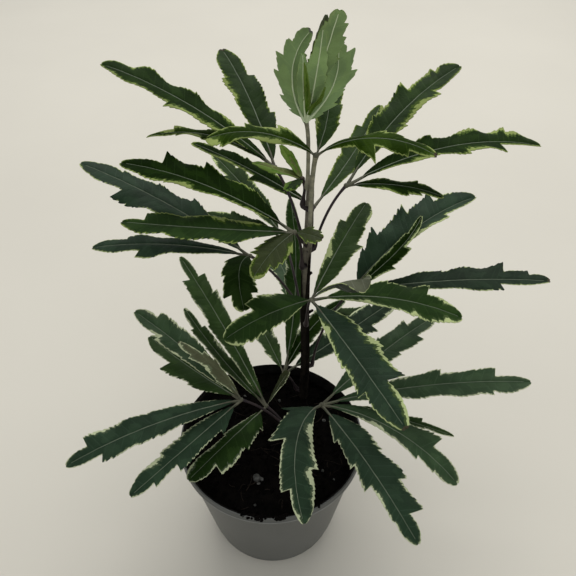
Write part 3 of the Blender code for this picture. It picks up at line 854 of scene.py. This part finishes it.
# %% Finishing a piece
def finish_piece(name, shape, materials, nodes=(), sharp=50):
    mesh = bpy.data.meshes.new(name)
    shape.to_mesh(mesh)
    shape.free()
    for material in materials:
        mesh.materials.append(material)
    mesh.shade_smooth()
    mesh.set_sharp_from_angle(angle=math.radians(sharp))
    piece = bpy.data.objects.new(name, mesh)
    bpy.context.scene.collection.objects.link(piece)
    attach(piece, "root")
    if nodes:
        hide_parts(*nodes)
    return piece


# %% Growing the blades of every leaf
# A few small leaflets stand between the others, too slight for solids of their own. The topmost
# are finer than their plain solids and bend sideways within the same reach.
BLADE_THICKNESS = 0.00034
EXTRA_BLADES = {
    "leaf_pot_front": (Blade(-12, -6, 0.074, 0.007),),
    "leaf_right": (Blade(38, 26, 0.0609, 0.0110, 40, 62),),
    "leaf_middle_left": (Blade(-22, 0, 0.014, 0.012),),
    "leaf_top": (Blade(22, 66.6, 0.0334, 0.0140, -73, 0, -90), Blade(-103, 76, 0.0316, 0.0060, -20),
                 Blade(76, 38.5, 0.0467, 0.0080, 15, 13), Blade(-98, 66, 0.0319, 0.0022, -9, -42, 180),
                 Blade(-53, 58, 0.0215, 0.0026, -10, 0, 180)),
}
FINER_BLADES = {
    "leaf_upper_right 2": Blade(2, -9, 0.049, 0.0125, 33),
    "leaf_low_left 3": Blade(59, 12, 0.026, 0.0050, 19),
    "leaf_top 0": Blade(-24, 87.4, 0.0391, 0.0155, 81, 0, -91),
    "leaf_top 1": Blade(-65, 74, 0.0428, 0.0080, -11, -5, -15),
    "leaf_top 2": Blade(-53, 69.7, 0.0509, 0.0125, 14, -31, -25),
}


def blades_of(leaf):
    """A leaf's leaflets as grown here: those of its solid, some of them finer, and the slight."""
    blades = [FINER_BLADES.get(f"{leaf.name} {number}", blade)
              for number, blade in enumerate(leaf.blades)]
    return blades + list(EXTRA_BLADES.get(leaf.name, ()))


def grow_blades(leaf):
    """All leaflets of one leaf as one piece, given their thickness by a Solidify modifier."""
    age = age_of(leaf)
    blades = blades_of(leaf)
    names = [f"{leaf.name} {number}" for number in range(len(blades))]
    tints = sorted({HABITS.get(name, UNTOLD).tint or TINT_OF_AGE[age] for name in names})
    materials = blade_materials(age, tints)
    shape = bmesh.new()
    hub = stalk_path(leaf, 8)[-1]
    for name, blade in zip(names, blades):
        lay_leaflet(shape, hub, blade, name, age, tints)
    piece = finish_piece(leaf.name + "_blades", shape, materials, [leaf.name])
    thick = piece.modifiers.new("thickness", "SOLIDIFY")
    thick.thickness = BLADE_THICKNESS
    thick.offset = 0.0
    thick.material_offset = len(materials) // 2
    return piece


blade_pieces = [grow_blades(leaf) for leaf in LEAVES]
print("Blade faces before thickness:", sum(len(piece.data.polygons) for piece in blade_pieces))

# %% [markdown]
# ## Stalks and ribs
#
# The leaf stalks are thin and nearly black, swollen where they clasp the stem. From the hub
# each leaflet's own little stalk runs on as the midrib, pale on both faces of the blade. A
# limb is rings of vertices bridged one to the next, each ring turned along the path.

# %% Limbs from rings
STALK_TINT = ((0.010, 0.006, 0.008), (0.028, 0.018, 0.018))
HUB_TINT = ((0.066, 0.066, 0.043), (0.140, 0.136, 0.093))
RIB_TINT = ((0.095, 0.120, 0.080), (0.155, 0.185, 0.125))
YOUNG_STALK_TINT = ((0.13, 0.13, 0.09), (0.28, 0.27, 0.19))
YOUNG_RIB_TINT = ((0.44, 0.52, 0.32), (0.58, 0.66, 0.43))
KNOT_TINT = ((0.020, 0.014, 0.010), (0.060, 0.045, 0.032))
stalk_skin = surface("stalk_purple_black", *STALK_TINT, patch=0.004, rough=(0.4, 0.6),
                     specular=0.3, dent=0.3, grain=0.0005)
hub_skin = surface("stalk_pale_olive", *HUB_TINT, patch=0.004, rough=(0.45, 0.6),
                   specular=0.25, dent=0.3, grain=0.0005)
rib_skin = surface("rib_pale_green", *RIB_TINT, patch=0.004, rough=(0.45, 0.6),
                   specular=0.25, dent=0.2, grain=0.0005)
young_skin = surface("stalk_pale_brown", *YOUNG_STALK_TINT, patch=0.003, rough=(0.6, 0.8),
                     specular=0.15, dent=0.5, grain=0.0005)
young_rib_skin = surface("rib_yellow_green", *YOUNG_RIB_TINT, patch=0.004, rough=(0.5, 0.65),
                         specular=0.2, dent=0.2, grain=0.0005)
knot_skin = surface("stalk_brown_knot", *KNOT_TINT, patch=0.002, rough=(0.6, 0.8),
                    specular=0.2, dent=0.8, grain=0.0004)
STALK_SKINS = [stalk_skin, hub_skin, rib_skin, young_skin, young_rib_skin, knot_skin]
STALK, HUB, RIB, YOUNG_STALK, YOUNG_RIB, KNOT = range(len(STALK_SKINS))


def limb(shape, points, radii, sides, slot=0):
    """A closed round limb along points, with a radius at each."""
    ring = None
    made_faces = []
    turn = (points[1] - points[0]).to_track_quat("Z", "Y")
    heading = (points[1] - points[0]).normalized()
    for index, (point, radius) in enumerate(zip(points, radii)):
        ahead = points[min(index + 1, len(points) - 1)]
        behind = points[max(index - 1, 0)]
        now = (ahead - behind).normalized()
        turn = heading.rotation_difference(now) @ turn
        heading = now
        place = Matrix.Translation(point) @ turn.to_matrix().to_4x4()
        made = bmesh.ops.create_circle(shape, cap_ends=False, segments=sides, radius=radius,
                                       matrix=place)
        edges = list({edge for vert in made["verts"] for edge in vert.link_edges})
        if ring:
            made_faces += bmesh.ops.bridge_loops(shape, edges=ring + edges)["faces"]
        else:
            made_faces += bmesh.ops.contextual_create(shape, geom=edges)["faces"]
        ring = edges
    made_faces += bmesh.ops.contextual_create(shape, geom=ring)["faces"]
    for face in made_faces:
        face.material_index = slot
    bmesh.ops.recalc_face_normals(shape, faces=made_faces)
    return made_faces


# %% Growing the stalks and ribs of every leaf
STALK_RINGS = 26
STALK_SIDES = 10
RIB_SIDES = 8
RIB_RING_EVERY = 0.0022
RIB_RADIUS = 0.00050
RIB_TIP_RADIUS = 0.00014
RIB_FOOT = (0.8, 0.11)
RIB_WANDER = 0.00022
RIB_SUNK = 0.5
YOUNG_RIB_SUNK = 0.0003
RIB_ENDS_AT = 0.965
HUB_RADIUS = 0.0013
YOUNG_STALKS = {"leaf_top": 1.25, "leaf_top_front": 1.5}
CLASP_LENGTH = 0.004


def stalk_radius(along, length, widening):
    """Wide where it clasps the stem, slim along its run, a little wider at the hub."""
    run = STALK_RADIUS * 0.8 * widening
    clasp = max(STALK_FOOT_RADIUS - run, 0.0) * math.exp(-(along / CLASP_LENGTH) ** 2)
    return run + clasp + run * 0.3 * math.exp(-((length - along) / 0.003) ** 2)


def grow_stalk(leaf):
    """A leaf's stalk, its hub and the ribs of its leaflets as one piece."""
    shape = bmesh.new()
    path = stalk_path(leaf, STALK_RINGS)
    length = sum((b - a).length for a, b in zip(path, path[1:]))
    along = [length * index / (STALK_RINGS - 1) for index in range(STALK_RINGS)]
    widening = YOUNG_STALKS.get(leaf.name, 1.0)
    radii = [stalk_radius(place, length, widening) for place in along]
    buried = shoot_point(leaf.shoot, leaf.height - 0.0012)
    limb(shape, [buried] + path, [radii[0] * 0.8] + radii, STALK_SIDES,
         YOUNG_STALK if leaf.name in YOUNG_STALKS else STALK)
    hub = path[-1]
    made = bmesh.ops.create_icosphere(shape, subdivisions=2, radius=HUB_RADIUS,
                                      matrix=Matrix.Translation(hub))
    young = age_of(leaf) == "young"
    for face in {face for vert in made["verts"] for face in vert.link_faces}:
        face.material_index = KNOT if young else HUB
    for number, blade in enumerate(blades_of(leaf)):
        rings = max(8, round(blade.length / RIB_RING_EVERY))
        rib = curved_path(hub, blade.heading, blade.rise, blade.length, blade.droop,
                          blade.turn, rings)
        points = []
        radii = []
        for index in range(rings + 1):
            share = RIB_ENDS_AT * index / rings
            point, side, up = rib_frame(rib, blade, share)
            slim = min(blade.width / 0.008, 1.0) if young else min(blade.length / 0.07, 1.0)
            foot = 1 + RIB_FOOT[0] * math.exp(-(share / RIB_FOOT[1]) ** 2)
            radius = (RIB_RADIUS + (RIB_TIP_RADIUS - RIB_RADIUS) * share ** 0.7) * slim * foot
            wander = RIB_WANDER * noise.noise(Vector((share * blade.length / 0.005, number, 0)))
            sunk = radius * RIB_SUNK + (YOUNG_RIB_SUNK if young else 0.0)
            points.append(point - up * sunk + side * wander * min(share * 8, 1))
            radii.append(radius)
        faces = limb(shape, points, radii, RIB_SIDES, YOUNG_RIB if young else RIB)
        for face in () if young else faces:
            if (face.calc_center_median() - hub).length < blade.length * 0.13:
                face.material_index = HUB
    return finish_piece(leaf.name + "_stalks", shape, STALK_SKINS,
                        [leaf.name])


stalk_pieces = [grow_stalk(leaf) for leaf in LEAVES]
print("Stalk faces:", sum(len(piece.data.polygons) for piece in stalk_pieces))

# %% [markdown]
# ## The woody stems
#
# The bark is brown, with fine upright cracks, small raised pores, and a swelling with a
# scar at each place where a leaf sits or once sat. Its colour holds painted light: below, the
# brown is darkened nearly to black as painted shade from the crown, and near the top it is
# painted paler where the light falls. The relief is real: a limb of many fine rings whose
# vertices are moved in and out. Cracks and pores also take their own colours.

# %% Bark with relief
BARK_SIDES = 26
BARK_RING_EVERY = 0.00055
# Painted light on the bark: the first tint is brown darkened nearly to black as the crown's shade, and
# the pale tint is painted light on the stem's top.
BARK_TINTS = {
    "bark_dark_brown": ((0.0045, 0.0036, 0.0028), (0.0150, 0.0120, 0.0090)),
    "bark_crack": ((0.0020, 0.0016, 0.0013), (0.0050, 0.0040, 0.0032)),
    "bark_pore": ((0.045, 0.040, 0.030), (0.090, 0.080, 0.060)),
    "bark_pale": ((0.120, 0.110, 0.082), (0.230, 0.210, 0.160)),
}
BARK, CRACK, PORE, PAINTED_LIGHT_BARK = range(len(BARK_TINTS))
PAINTED_LIGHT_FROM = 0.190
PAINTED_LIGHT_STREAKS = 0.025
bark_skins = [surface(name, *tint, patch=0.003, rough=(0.7, 0.9), specular=0.06, dent=0.7,
                      grain=0.0004) for name, tint in BARK_TINTS.items()]
SCARS = {"main": (0.093, 0.101, 0.112, 0.121, 0.129, 0.136, 0.151, 0.162, 0.170, 0.178,
                  0.190, 0.203, 0.211, 0.218),
         "side": (0.0825, 0.088)}
PORES_PER_METRE = 900
BARK_SLIM = 0.00015
FOOT_SINK = 0.0012
STEM_FLARE = 0.00045


def bark_limb(name, shoot, top):
    """A stem's bark between the soil and its top, moved in and out by its cracks and scars."""
    chance = random.Random(name)
    foot = (STEM_FOOT if shoot == "main" else SHOOT_FOOT).z - FOOT_SINK
    count = round((top - foot) / BARK_RING_EVERY)
    heights = [foot + (top - foot) * step / count for step in range(count + 1)]
    points = [shoot_point(shoot, height) for height in heights]
    scars = [(height, chance.uniform(0, math.tau)) for height in SCARS[shoot]]
    pores = [(chance.uniform(foot, top), chance.uniform(0, math.tau))
             for _ in range(round((top - foot) * PORES_PER_METRE))]
    shape = bmesh.new()
    limb(shape, points, [1.0] * len(points), BARK_SIDES)
    tints = {}
    for vert in shape.verts:
        level = min(range(len(points)), key=lambda n: abs(points[n].z - vert.co.z))
        centre = points[level]
        out = vert.co - centre
        angle = math.atan2(out.y, out.x)
        height = centre.z
        radius = shoot_radius(shoot, height) - BARK_SLIM
        radius += STEM_FLARE * math.exp(-((height - foot) / 0.004) ** 2)
        crack = abs(noise.noise(Vector((math.cos(angle) * 2.2, math.sin(angle) * 2.2,
                                        height * 110))))
        depth = 0.00026 * math.exp(-(crack / 0.07) ** 2)
        lump = 0.00012 * noise.noise(Vector((math.cos(angle), math.sin(angle), height * 300)))
        swell = 0.0
        for place, way in scars:
            facing = 0.5 + 0.5 * math.cos(angle - way)
            near = math.exp(-((height - place) / 0.0016) ** 2)
            ring = math.exp(-((height - place - 0.0006) / 0.0004) ** 2)
            swell += near * 0.00028 * (0.4 + facing) - ring * 0.00018 * facing
        pore = 0.0
        for place, way in pores:
            if abs(height - place) < 0.0009:
                across = math.remainder(angle - way, math.tau) * radius
                pore = max(pore, math.exp(-((height - place) / 0.0004) ** 2
                                          - (across / 0.0003) ** 2))
        vert.co = centre + Vector((math.cos(angle), math.sin(angle), 0)) * (
            radius - depth + lump + swell + pore * 0.00014)
        tints[vert] = (depth, pore)
    for face in shape.faces:
        depth = sum(tints[vert][0] for vert in face.verts) / len(face.verts)
        pore = sum(tints[vert][1] for vert in face.verts) / len(face.verts)
        middle = face.calc_center_median()
        streak = noise.noise(Vector((middle.x / 0.0012, middle.y / 0.0012, middle.z / 0.009)))
        # Faces above a ragged height take the pale bark, painted light on the top of the stem.
        pale = middle.z + PAINTED_LIGHT_STREAKS * streak > PAINTED_LIGHT_FROM
        face.material_index = (PORE if pore > 0.45 else CRACK if depth > 0.00019
                               else PAINTED_LIGHT_BARK if pale else BARK)
    return shape


# %% The main stem, the side shoot and the stubs of lost leaves
STUBS = (("main", 0.151, 5, 0.0034), ("main", 0.121, -150, 0.0026), ("main", 0.178, 20, 0.0022),
         ("main", 0.101, -60, 0.0028), ("side", 0.0825, -70, 0.0020))


def add_stub(shape, shoot, height, heading, length):
    """The dry foot of a leaf stalk that fell, left on the bark."""
    start = shoot_point(shoot, height) + direction(heading, 0) * shoot_radius(shoot, height) * 0.7
    points = [start + direction(heading, 32) * length * share for share in (0, 0.3, 0.6, 0.85, 1)]
    limb(shape, points, [0.0010, 0.0009, 0.00075, 0.0008, 0.00055], 10, 1)


for piece_name, shoot, top in (("main_stem", "main", STEM_TOP), ("side_shoot", "side", SHOOT_TOP)):
    bark = bark_limb(piece_name, shoot, top)
    for stub_shoot, height, heading, length in STUBS:
        if stub_shoot == shoot:
            add_stub(bark, shoot, height, heading, length)
    faces = len(bark.faces)
    finish_piece(piece_name + "_bark", bark, bark_skins, [piece_name])
    print(piece_name, "bark faces:", faces)

# %% [markdown]
# ## The pot
#
# A thin nursery pot is moulded in grey plastic with a stiff lip. It is a turned shape: its
# half profile runs up the outside, over the lip and down the inside, and one spin closes it.
# The drain holes are cut with a Boolean modifier, which is then applied.

# %% Turning the pot
POT_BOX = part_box("pot")
POT_HEIGHT = POT_BOX[1].z
LIP_RADIUS = POT_BOX[1].x
MOUTH_RADIUS = 0.0512
FOOT_RADIUS = 0.0385
POT_WALL = 0.0012
POT_FLOOR = 0.0016
LIP_DEPTH = 0.0040
LIP_BEAD = 0.0004
LIP_SLOPE = 0.0006
POT_CORNER = 0.0045
POT_STEPS = 160
DRAIN_HOLES = 6
DRAIN_RADIUS = 0.0035
DRAIN_CIRCLE = 0.026
plastic = surface("pot_plastic_grey", (0.073, 0.076, 0.070), (0.096, 0.099, 0.092), patch=0.03,
                  rough=(0.36, 0.48), specular=0.4, dent=0.12, grain=0.0009)


def wall_radius(height):
    """The outer radius of the pot's straight wall at a height."""
    return FOOT_RADIUS + (MOUTH_RADIUS - FOOT_RADIUS) * height / POT_HEIGHT


def arc(centre_radius, centre_height, radius, start, end, steps):
    """Points of a profile's rounding, from one angle to another in degrees."""
    angles = [math.radians(start + (end - start) * step / steps) for step in range(steps + 1)]
    return [(centre_radius + radius * math.cos(angle), centre_height + radius * math.sin(angle))
            for angle in angles]


def turned(profile, steps):
    """A closed turned body from a profile of (radius, height) that starts and ends on the axis."""
    shape = bmesh.new()
    rim = [shape.verts.new((radius, 0.0, height)) for radius, height in profile]
    edges = [shape.edges.new(pair) for pair in zip(rim, rim[1:])]
    bmesh.ops.spin(shape, geom=rim + edges, cent=(0, 0, 0), axis=(0, 0, 1),
                   angle=math.tau, steps=steps, use_merge=True)
    bmesh.ops.remove_doubles(shape, verts=shape.verts, dist=1e-6)
    bmesh.ops.recalc_face_normals(shape, faces=shape.faces)
    return shape


lip_under = POT_HEIGHT - LIP_DEPTH
corner_radius = wall_radius(0) - POT_CORNER
pot_profile = [(0.0, 0.0004), (0.020, 0.0004), (corner_radius - 0.0035, 0.0004),
               (corner_radius - 0.0025, 0.0)]
pot_profile += arc(corner_radius, POT_CORNER, POT_CORNER, -90, 0, 8)
pot_profile += [(wall_radius(share * POT_HEIGHT), share * POT_HEIGHT)
                for share in (0.15, 0.3, 0.45, 0.6, 0.75, 0.88)]
pot_profile += [(wall_radius(lip_under) - 0.0001, lip_under - 0.0008),
                (wall_radius(lip_under), lip_under)]
pot_profile += arc(LIP_RADIUS - LIP_BEAD, lip_under + LIP_BEAD, LIP_BEAD, -90, 60, 6)
pot_profile += arc(LIP_RADIUS - LIP_BEAD - LIP_SLOPE, POT_HEIGHT - 0.0006, 0.0006, 10, 135, 6)
pot_profile += arc(MOUTH_RADIUS - POT_WALL + 0.0008, POT_HEIGHT - 0.0013, 0.0008, 75, 180, 4)
pot_profile += [(wall_radius(share * POT_HEIGHT) - POT_WALL, share * POT_HEIGHT)
                for share in (0.94, 0.8, 0.6, 0.4, 0.2)]
pot_profile += arc(corner_radius - POT_WALL, POT_CORNER - POT_WALL + POT_FLOOR,
                   POT_CORNER - POT_WALL, 0, -90, 4)
pot_profile += [(0.0, POT_FLOOR)]
pot = finish_piece("pot_shell", turned(pot_profile, POT_STEPS), [plastic],
                   ["pot"], sharp=60)


# %% Cutting the drain holes
def cut(piece, cutters):
    """Cuts the cutters out of a piece and removes them."""
    for number, cutter in enumerate(cutters):
        hole = piece.modifiers.new(f"hole {number}", "BOOLEAN")
        hole.operation = "DIFFERENCE"
        hole.object = cutter
    bpy.context.view_layer.update()
    evaluated = piece.evaluated_get(bpy.context.evaluated_depsgraph_get())
    piece.data = bpy.data.meshes.new_from_object(evaluated)
    piece.modifiers.clear()
    for cutter in cutters:
        bpy.data.objects.remove(cutter, do_unlink=True)


def drain_cutter(index):
    shape = bmesh.new()
    angle = math.tau * (index + 0.5) / DRAIN_HOLES
    place = Matrix.Translation((DRAIN_CIRCLE * math.cos(angle), DRAIN_CIRCLE * math.sin(angle),
                                POT_FLOOR / 2))
    bmesh.ops.create_cone(shape, cap_ends=True, segments=28, radius1=DRAIN_RADIUS,
                          radius2=DRAIN_RADIUS, depth=POT_FLOOR * 4, matrix=place)
    mesh = bpy.data.meshes.new("cutter")
    shape.to_mesh(mesh)
    shape.free()
    cutter = bpy.data.objects.new(f"cutter_{index}", mesh)
    bpy.context.scene.collection.objects.link(cutter)
    return cutter


cut(pot, [drain_cutter(index) for index in range(DRAIN_HOLES)])
print("Pot faces:", len(pot.data.polygons))

# %% Peat, painted shade and a painted highlight on the pot
# Peat clings to the lip behind its bead and hides all of the lip at the back, and the same near-black
# colour paints the shade on the inside wall of the pot.
# The upward faces of the bead under the lip are painted paler as a highlight: the thin line of light
# that the bead catches.
PEAT_AND_SHADE_TINT = ((0.0030, 0.0027, 0.0024), (0.0110, 0.0100, 0.0090))
BEAD_HIGHLIGHT_TINT = ((0.150, 0.155, 0.145), (0.215, 0.220, 0.205))
PEATY_FROM = 0.014
PEATY_RAGGED = 0.010
LIP_SHOULDER = 0.0012
pot.data.materials.append(surface("pot_plastic_peaty", *PEAT_AND_SHADE_TINT, patch=0.004,
                                  rough=(0.8, 0.95), specular=0.05, dent=0.8, grain=0.0007))
pot.data.materials.append(surface("pot_plastic_rubbed", *BEAD_HIGHLIGHT_TINT, patch=0.008,
                                  rough=(0.4, 0.55), specular=0.4, dent=0.2, grain=0.0009))
for face in pot.data.polygons:
    middle, facing = face.center, face.normal
    outward = middle.x * facing.x + middle.y * facing.y
    distance = math.hypot(middle.x, middle.y)
    behind_bead = distance < LIP_RADIUS - LIP_SLOPE - 0.0008
    back = middle.y > PEATY_FROM + PEATY_RAGGED * noise.noise(middle / 0.006)
    on_lip = facing.z > 0.3 and middle.z > POT_HEIGHT - LIP_SHOULDER
    on_bead = facing.z > -0.1 and abs(middle.z - lip_under - LIP_BEAD) < LIP_BEAD
    # Inward faces take painted shade, lip faces behind the bead or at the back take peat, and upward
    # bead faces a painted highlight.
    if outward < -0.3 * distance or (on_lip and (behind_bead or back)):
        face.material_index = 1
    elif on_bead and distance > LIP_RADIUS - LIP_BEAD:
        face.material_index = 2

# %% [markdown]
# ## The soil
#
# Peat mix is nearly black and crumbly, with fibres, bits of bark and a few white grains of
# perlite. The bed is a turned body whose top is roughened in code. Hundreds of crumbs of a
# few faces each lie on it, all joined, and so do the fibres and the grains.

# %% The bed of soil
WALL_GAP = POT_WALL + CLEARANCE * 1.5
BED_RINGS = 34
BED_STEPS = 110
peat = surface("soil_peat", (0.0012, 0.0010, 0.0009), (0.0042, 0.0034, 0.0028), patch=0.004,
               rough=(0.85, 1.0), specular=0.03, dent=0.9, grain=0.0008)
fibre_skin = surface("soil_fibre", (0.006, 0.0042, 0.003), (0.018, 0.012, 0.008), patch=0.003,
                     rough=(0.8, 0.95), specular=0.15, dent=0.5, grain=0.0005)
perlite_skin = surface("soil_perlite", (0.025, 0.026, 0.023), (0.10, 0.10, 0.092), patch=0.002,
                       rough=(0.8, 0.95), specular=0.2, dent=0.8, grain=0.0005)


def bed_height(x, y):
    """The rough top of the soil at a place in the pot."""
    distance = math.hypot(x, y)
    edge = wall_radius(SOIL_TOP) - WALL_GAP
    level = SOIL_TOP + SOIL_CROWN * min(max((edge - distance) / (edge * 0.2), 0.0), 1.0)
    here = Vector((x, y, 0.0))
    rough = 0.0011 * noise.noise(here / 0.0085) + 0.0006 * noise.noise(here / 0.0033)
    fine = 0.0004 * noise.noise(here / 0.0014)
    return level + rough + fine


edge_radius = wall_radius(SOIL_TOP) - WALL_GAP
foot_height = POT_FLOOR + CLEARANCE
bed_profile = [(0.0, foot_height), (wall_radius(foot_height) - WALL_GAP - 0.0045, foot_height),
               (wall_radius(0.006) - WALL_GAP, 0.0065)]
bed_profile += [(edge_radius * (1 - ring / BED_RINGS), SOIL_TOP) for ring in range(BED_RINGS + 1)]
bed = turned(bed_profile, BED_STEPS)
for vert in bed.verts:
    if vert.co.z > SOIL_TOP - 0.0001:
        vert.co.z = bed_height(vert.co.x, vert.co.y)
finish_piece("soil_bed", bed, [peat], ["soil"], sharp=80)

# %% Crumbs, fibres and perlite
CRUMBS = 900
FIBRES = 90
PERLITE_SPOTS = ((-0.0076, -0.0258, 0.0023), (-0.0052, -0.0267, 0.0015), (-0.0066, -0.0290, 0.0009),
                 (-0.0080, -0.0417, 0.0007), (0.0287, -0.0215, 0.0010), (0.0348, -0.0264, 0.0007),
                 (-0.024, 0.004, 0.0012), (0.004, 0.026, 0.0014), (0.031, 0.012, 0.0011),
                 (-0.017, 0.029, 0.0012), (-0.029, -0.019, 0.0009))
RIM_HEAPS = ((-107, 1.5, 5, 0.0008), (-100, 2.5, 14, 0.0010), (-94, 2.5, 18, 0.0012),
             (-82, 1.5, 9, 0.0016), (-60, 1.5, 6, 0.0009))


def rough_lump(shape, place, size, chance, level=1):
    """A crumb: a ball of a few faces, squashed and dented."""
    made = bmesh.ops.create_icosphere(shape, subdivisions=level, radius=size)
    squash = Vector((chance.uniform(0.7, 1.25), chance.uniform(0.7, 1.25),
                     chance.uniform(0.5, 0.9)))
    turn = Matrix.Rotation(chance.uniform(0, math.tau), 3, "Z")
    offset = chance.uniform(0, 50)
    for vert in made["verts"]:
        vert.co *= 1 + 0.42 * noise.noise(vert.co / size * 0.9 + Vector((offset, 0, 0)))
        vert.co = turn @ Vector(a * b for a, b in zip(vert.co, squash)) + place


def on_bed(chance, margin=0.0015):
    distance = (edge_radius - margin) * math.sqrt(chance.random())
    angle = chance.uniform(0, math.tau)
    x, y = distance * math.cos(angle), distance * math.sin(angle)
    return Vector((x, y, bed_height(x, y)))


chance = random.Random("crumbs")
crumbs = bmesh.new()
for _ in range(CRUMBS):
    size = 0.0004 + 0.0014 * chance.random() ** 3
    rough_lump(crumbs, on_bed(chance) + Vector((0, 0, size * 0.25)), size, chance)
for middle, spread, count, largest in RIM_HEAPS:
    for _ in range(count):
        angle = math.radians(chance.gauss(middle, spread))
        size = largest * chance.uniform(0.4, 1.0)
        distance = (MOUTH_RADIUS + LIP_RADIUS - POT_WALL) / 2 + chance.uniform(-0.0012, 0.0014)
        place = Vector((distance * math.cos(angle), distance * math.sin(angle),
                        POT_HEIGHT + size * 0.2))
        rough_lump(crumbs, place, size, chance)
finish_piece("soil_crumbs", crumbs, [peat], sharp=70)

fibres = bmesh.new()
for _ in range(FIBRES):
    start = on_bed(chance, 0.004)
    heading = chance.uniform(0, 360)
    length = chance.uniform(0.003, 0.010)
    path = curved_path(start + Vector((0, 0, 0.0003)), heading, chance.uniform(-4, 14), length,
                       chance.uniform(0, 40), chance.uniform(-70, 70), 6)
    slim = chance.uniform(0.00010, 0.00028)
    limb(fibres, path, [slim * 0.7, slim, slim, slim, slim, slim * 0.8, slim * 0.4], 5)
finish_piece("soil_fibres", fibres, [fibre_skin])

grains = bmesh.new()
for x, y, size in PERLITE_SPOTS:
    rough_lump(grains, Vector((x, y, bed_height(x, y) + size * 0.3)), size, chance, 2)
finish_piece("soil_perlite_grains", grains, [perlite_skin], sharp=40)
print("Crumbs, fibres and grains lie on the soil")

# %% [markdown]
# ## Floor, light and camera
#
# The photograph was taken from above the front of the plant, about 43 degrees down, with a
# moderate lens. The light is soft and comes from above and a little behind, so upper faces
# carry a pale sheen and the pot's front stays darker. The floor is plain and pale.

# %% The floor
FLOOR_SIZE = 6.0
floor_skin = surface("floor_pale_beige", (0.585, 0.560, 0.490), (0.610, 0.585, 0.512), patch=0.25,
                     rough=(0.55, 0.65), specular=0.2, dent=0.02, grain=0.004)
floor_shape = bmesh.new()
bmesh.ops.create_grid(floor_shape, x_segments=4, y_segments=4, size=FLOOR_SIZE / 2)
floor_mesh = bpy.data.meshes.new("floor")
floor_shape.to_mesh(floor_mesh)
floor_shape.free()
floor_mesh.materials.append(floor_skin)
floor = bpy.data.objects.new("floor", floor_mesh)
bpy.context.scene.collection.objects.link(floor)

# %% The light
WORLD_STRENGTH = 0.56
world = bpy.data.worlds.new("soft studio")
world.use_nodes = True
world.node_tree.nodes["Background"].inputs["Color"].default_value = (0.98, 0.99, 1.0, 1)
world.node_tree.nodes["Background"].inputs["Strength"].default_value = WORLD_STRENGTH
bpy.context.scene.world = world


def soft_light(name, place, size, power, colour=(1, 1, 1)):
    """A square area light that faces the middle of the plant."""
    lamp = bpy.data.lights.new(name, "AREA")
    lamp.shape = "SQUARE"
    lamp.size = size
    lamp.energy = power
    lamp.color = colour
    thing = bpy.data.objects.new(name, lamp)
    thing.location = place
    aim = Vector((0, 0, 0.15)) - Vector(place)
    thing.rotation_euler = aim.to_track_quat("-Z", "Y").to_euler()
    bpy.context.scene.collection.objects.link(thing)


soft_light("overhead", (0.12, 0.85, 1.45), 1.5, 20, (1.0, 0.985, 0.965))
soft_light("front_fill", (0.4, -1.3, 1.0), 1.2, 3.0, (0.97, 0.985, 1.0))

# %% The camera
CAMERA_PLACE = Vector((0.0095, -0.206, 0.388))
CAMERA_DOWN = 42.8
LENS = 38.9
SENSOR = 36.0
camera_data = bpy.data.cameras.new("camera")
camera_data.lens = LENS
camera_data.sensor_width = SENSOR
camera_data.clip_start = 0.01
camera = bpy.data.objects.new("camera", camera_data)
camera.location = CAMERA_PLACE
camera.rotation_euler = (math.radians(90 - CAMERA_DOWN), 0.0, 0.0)
bpy.context.scene.collection.objects.link(camera)
bpy.context.scene.camera = camera
bpy.context.scene.view_settings.view_transform = "Standard"
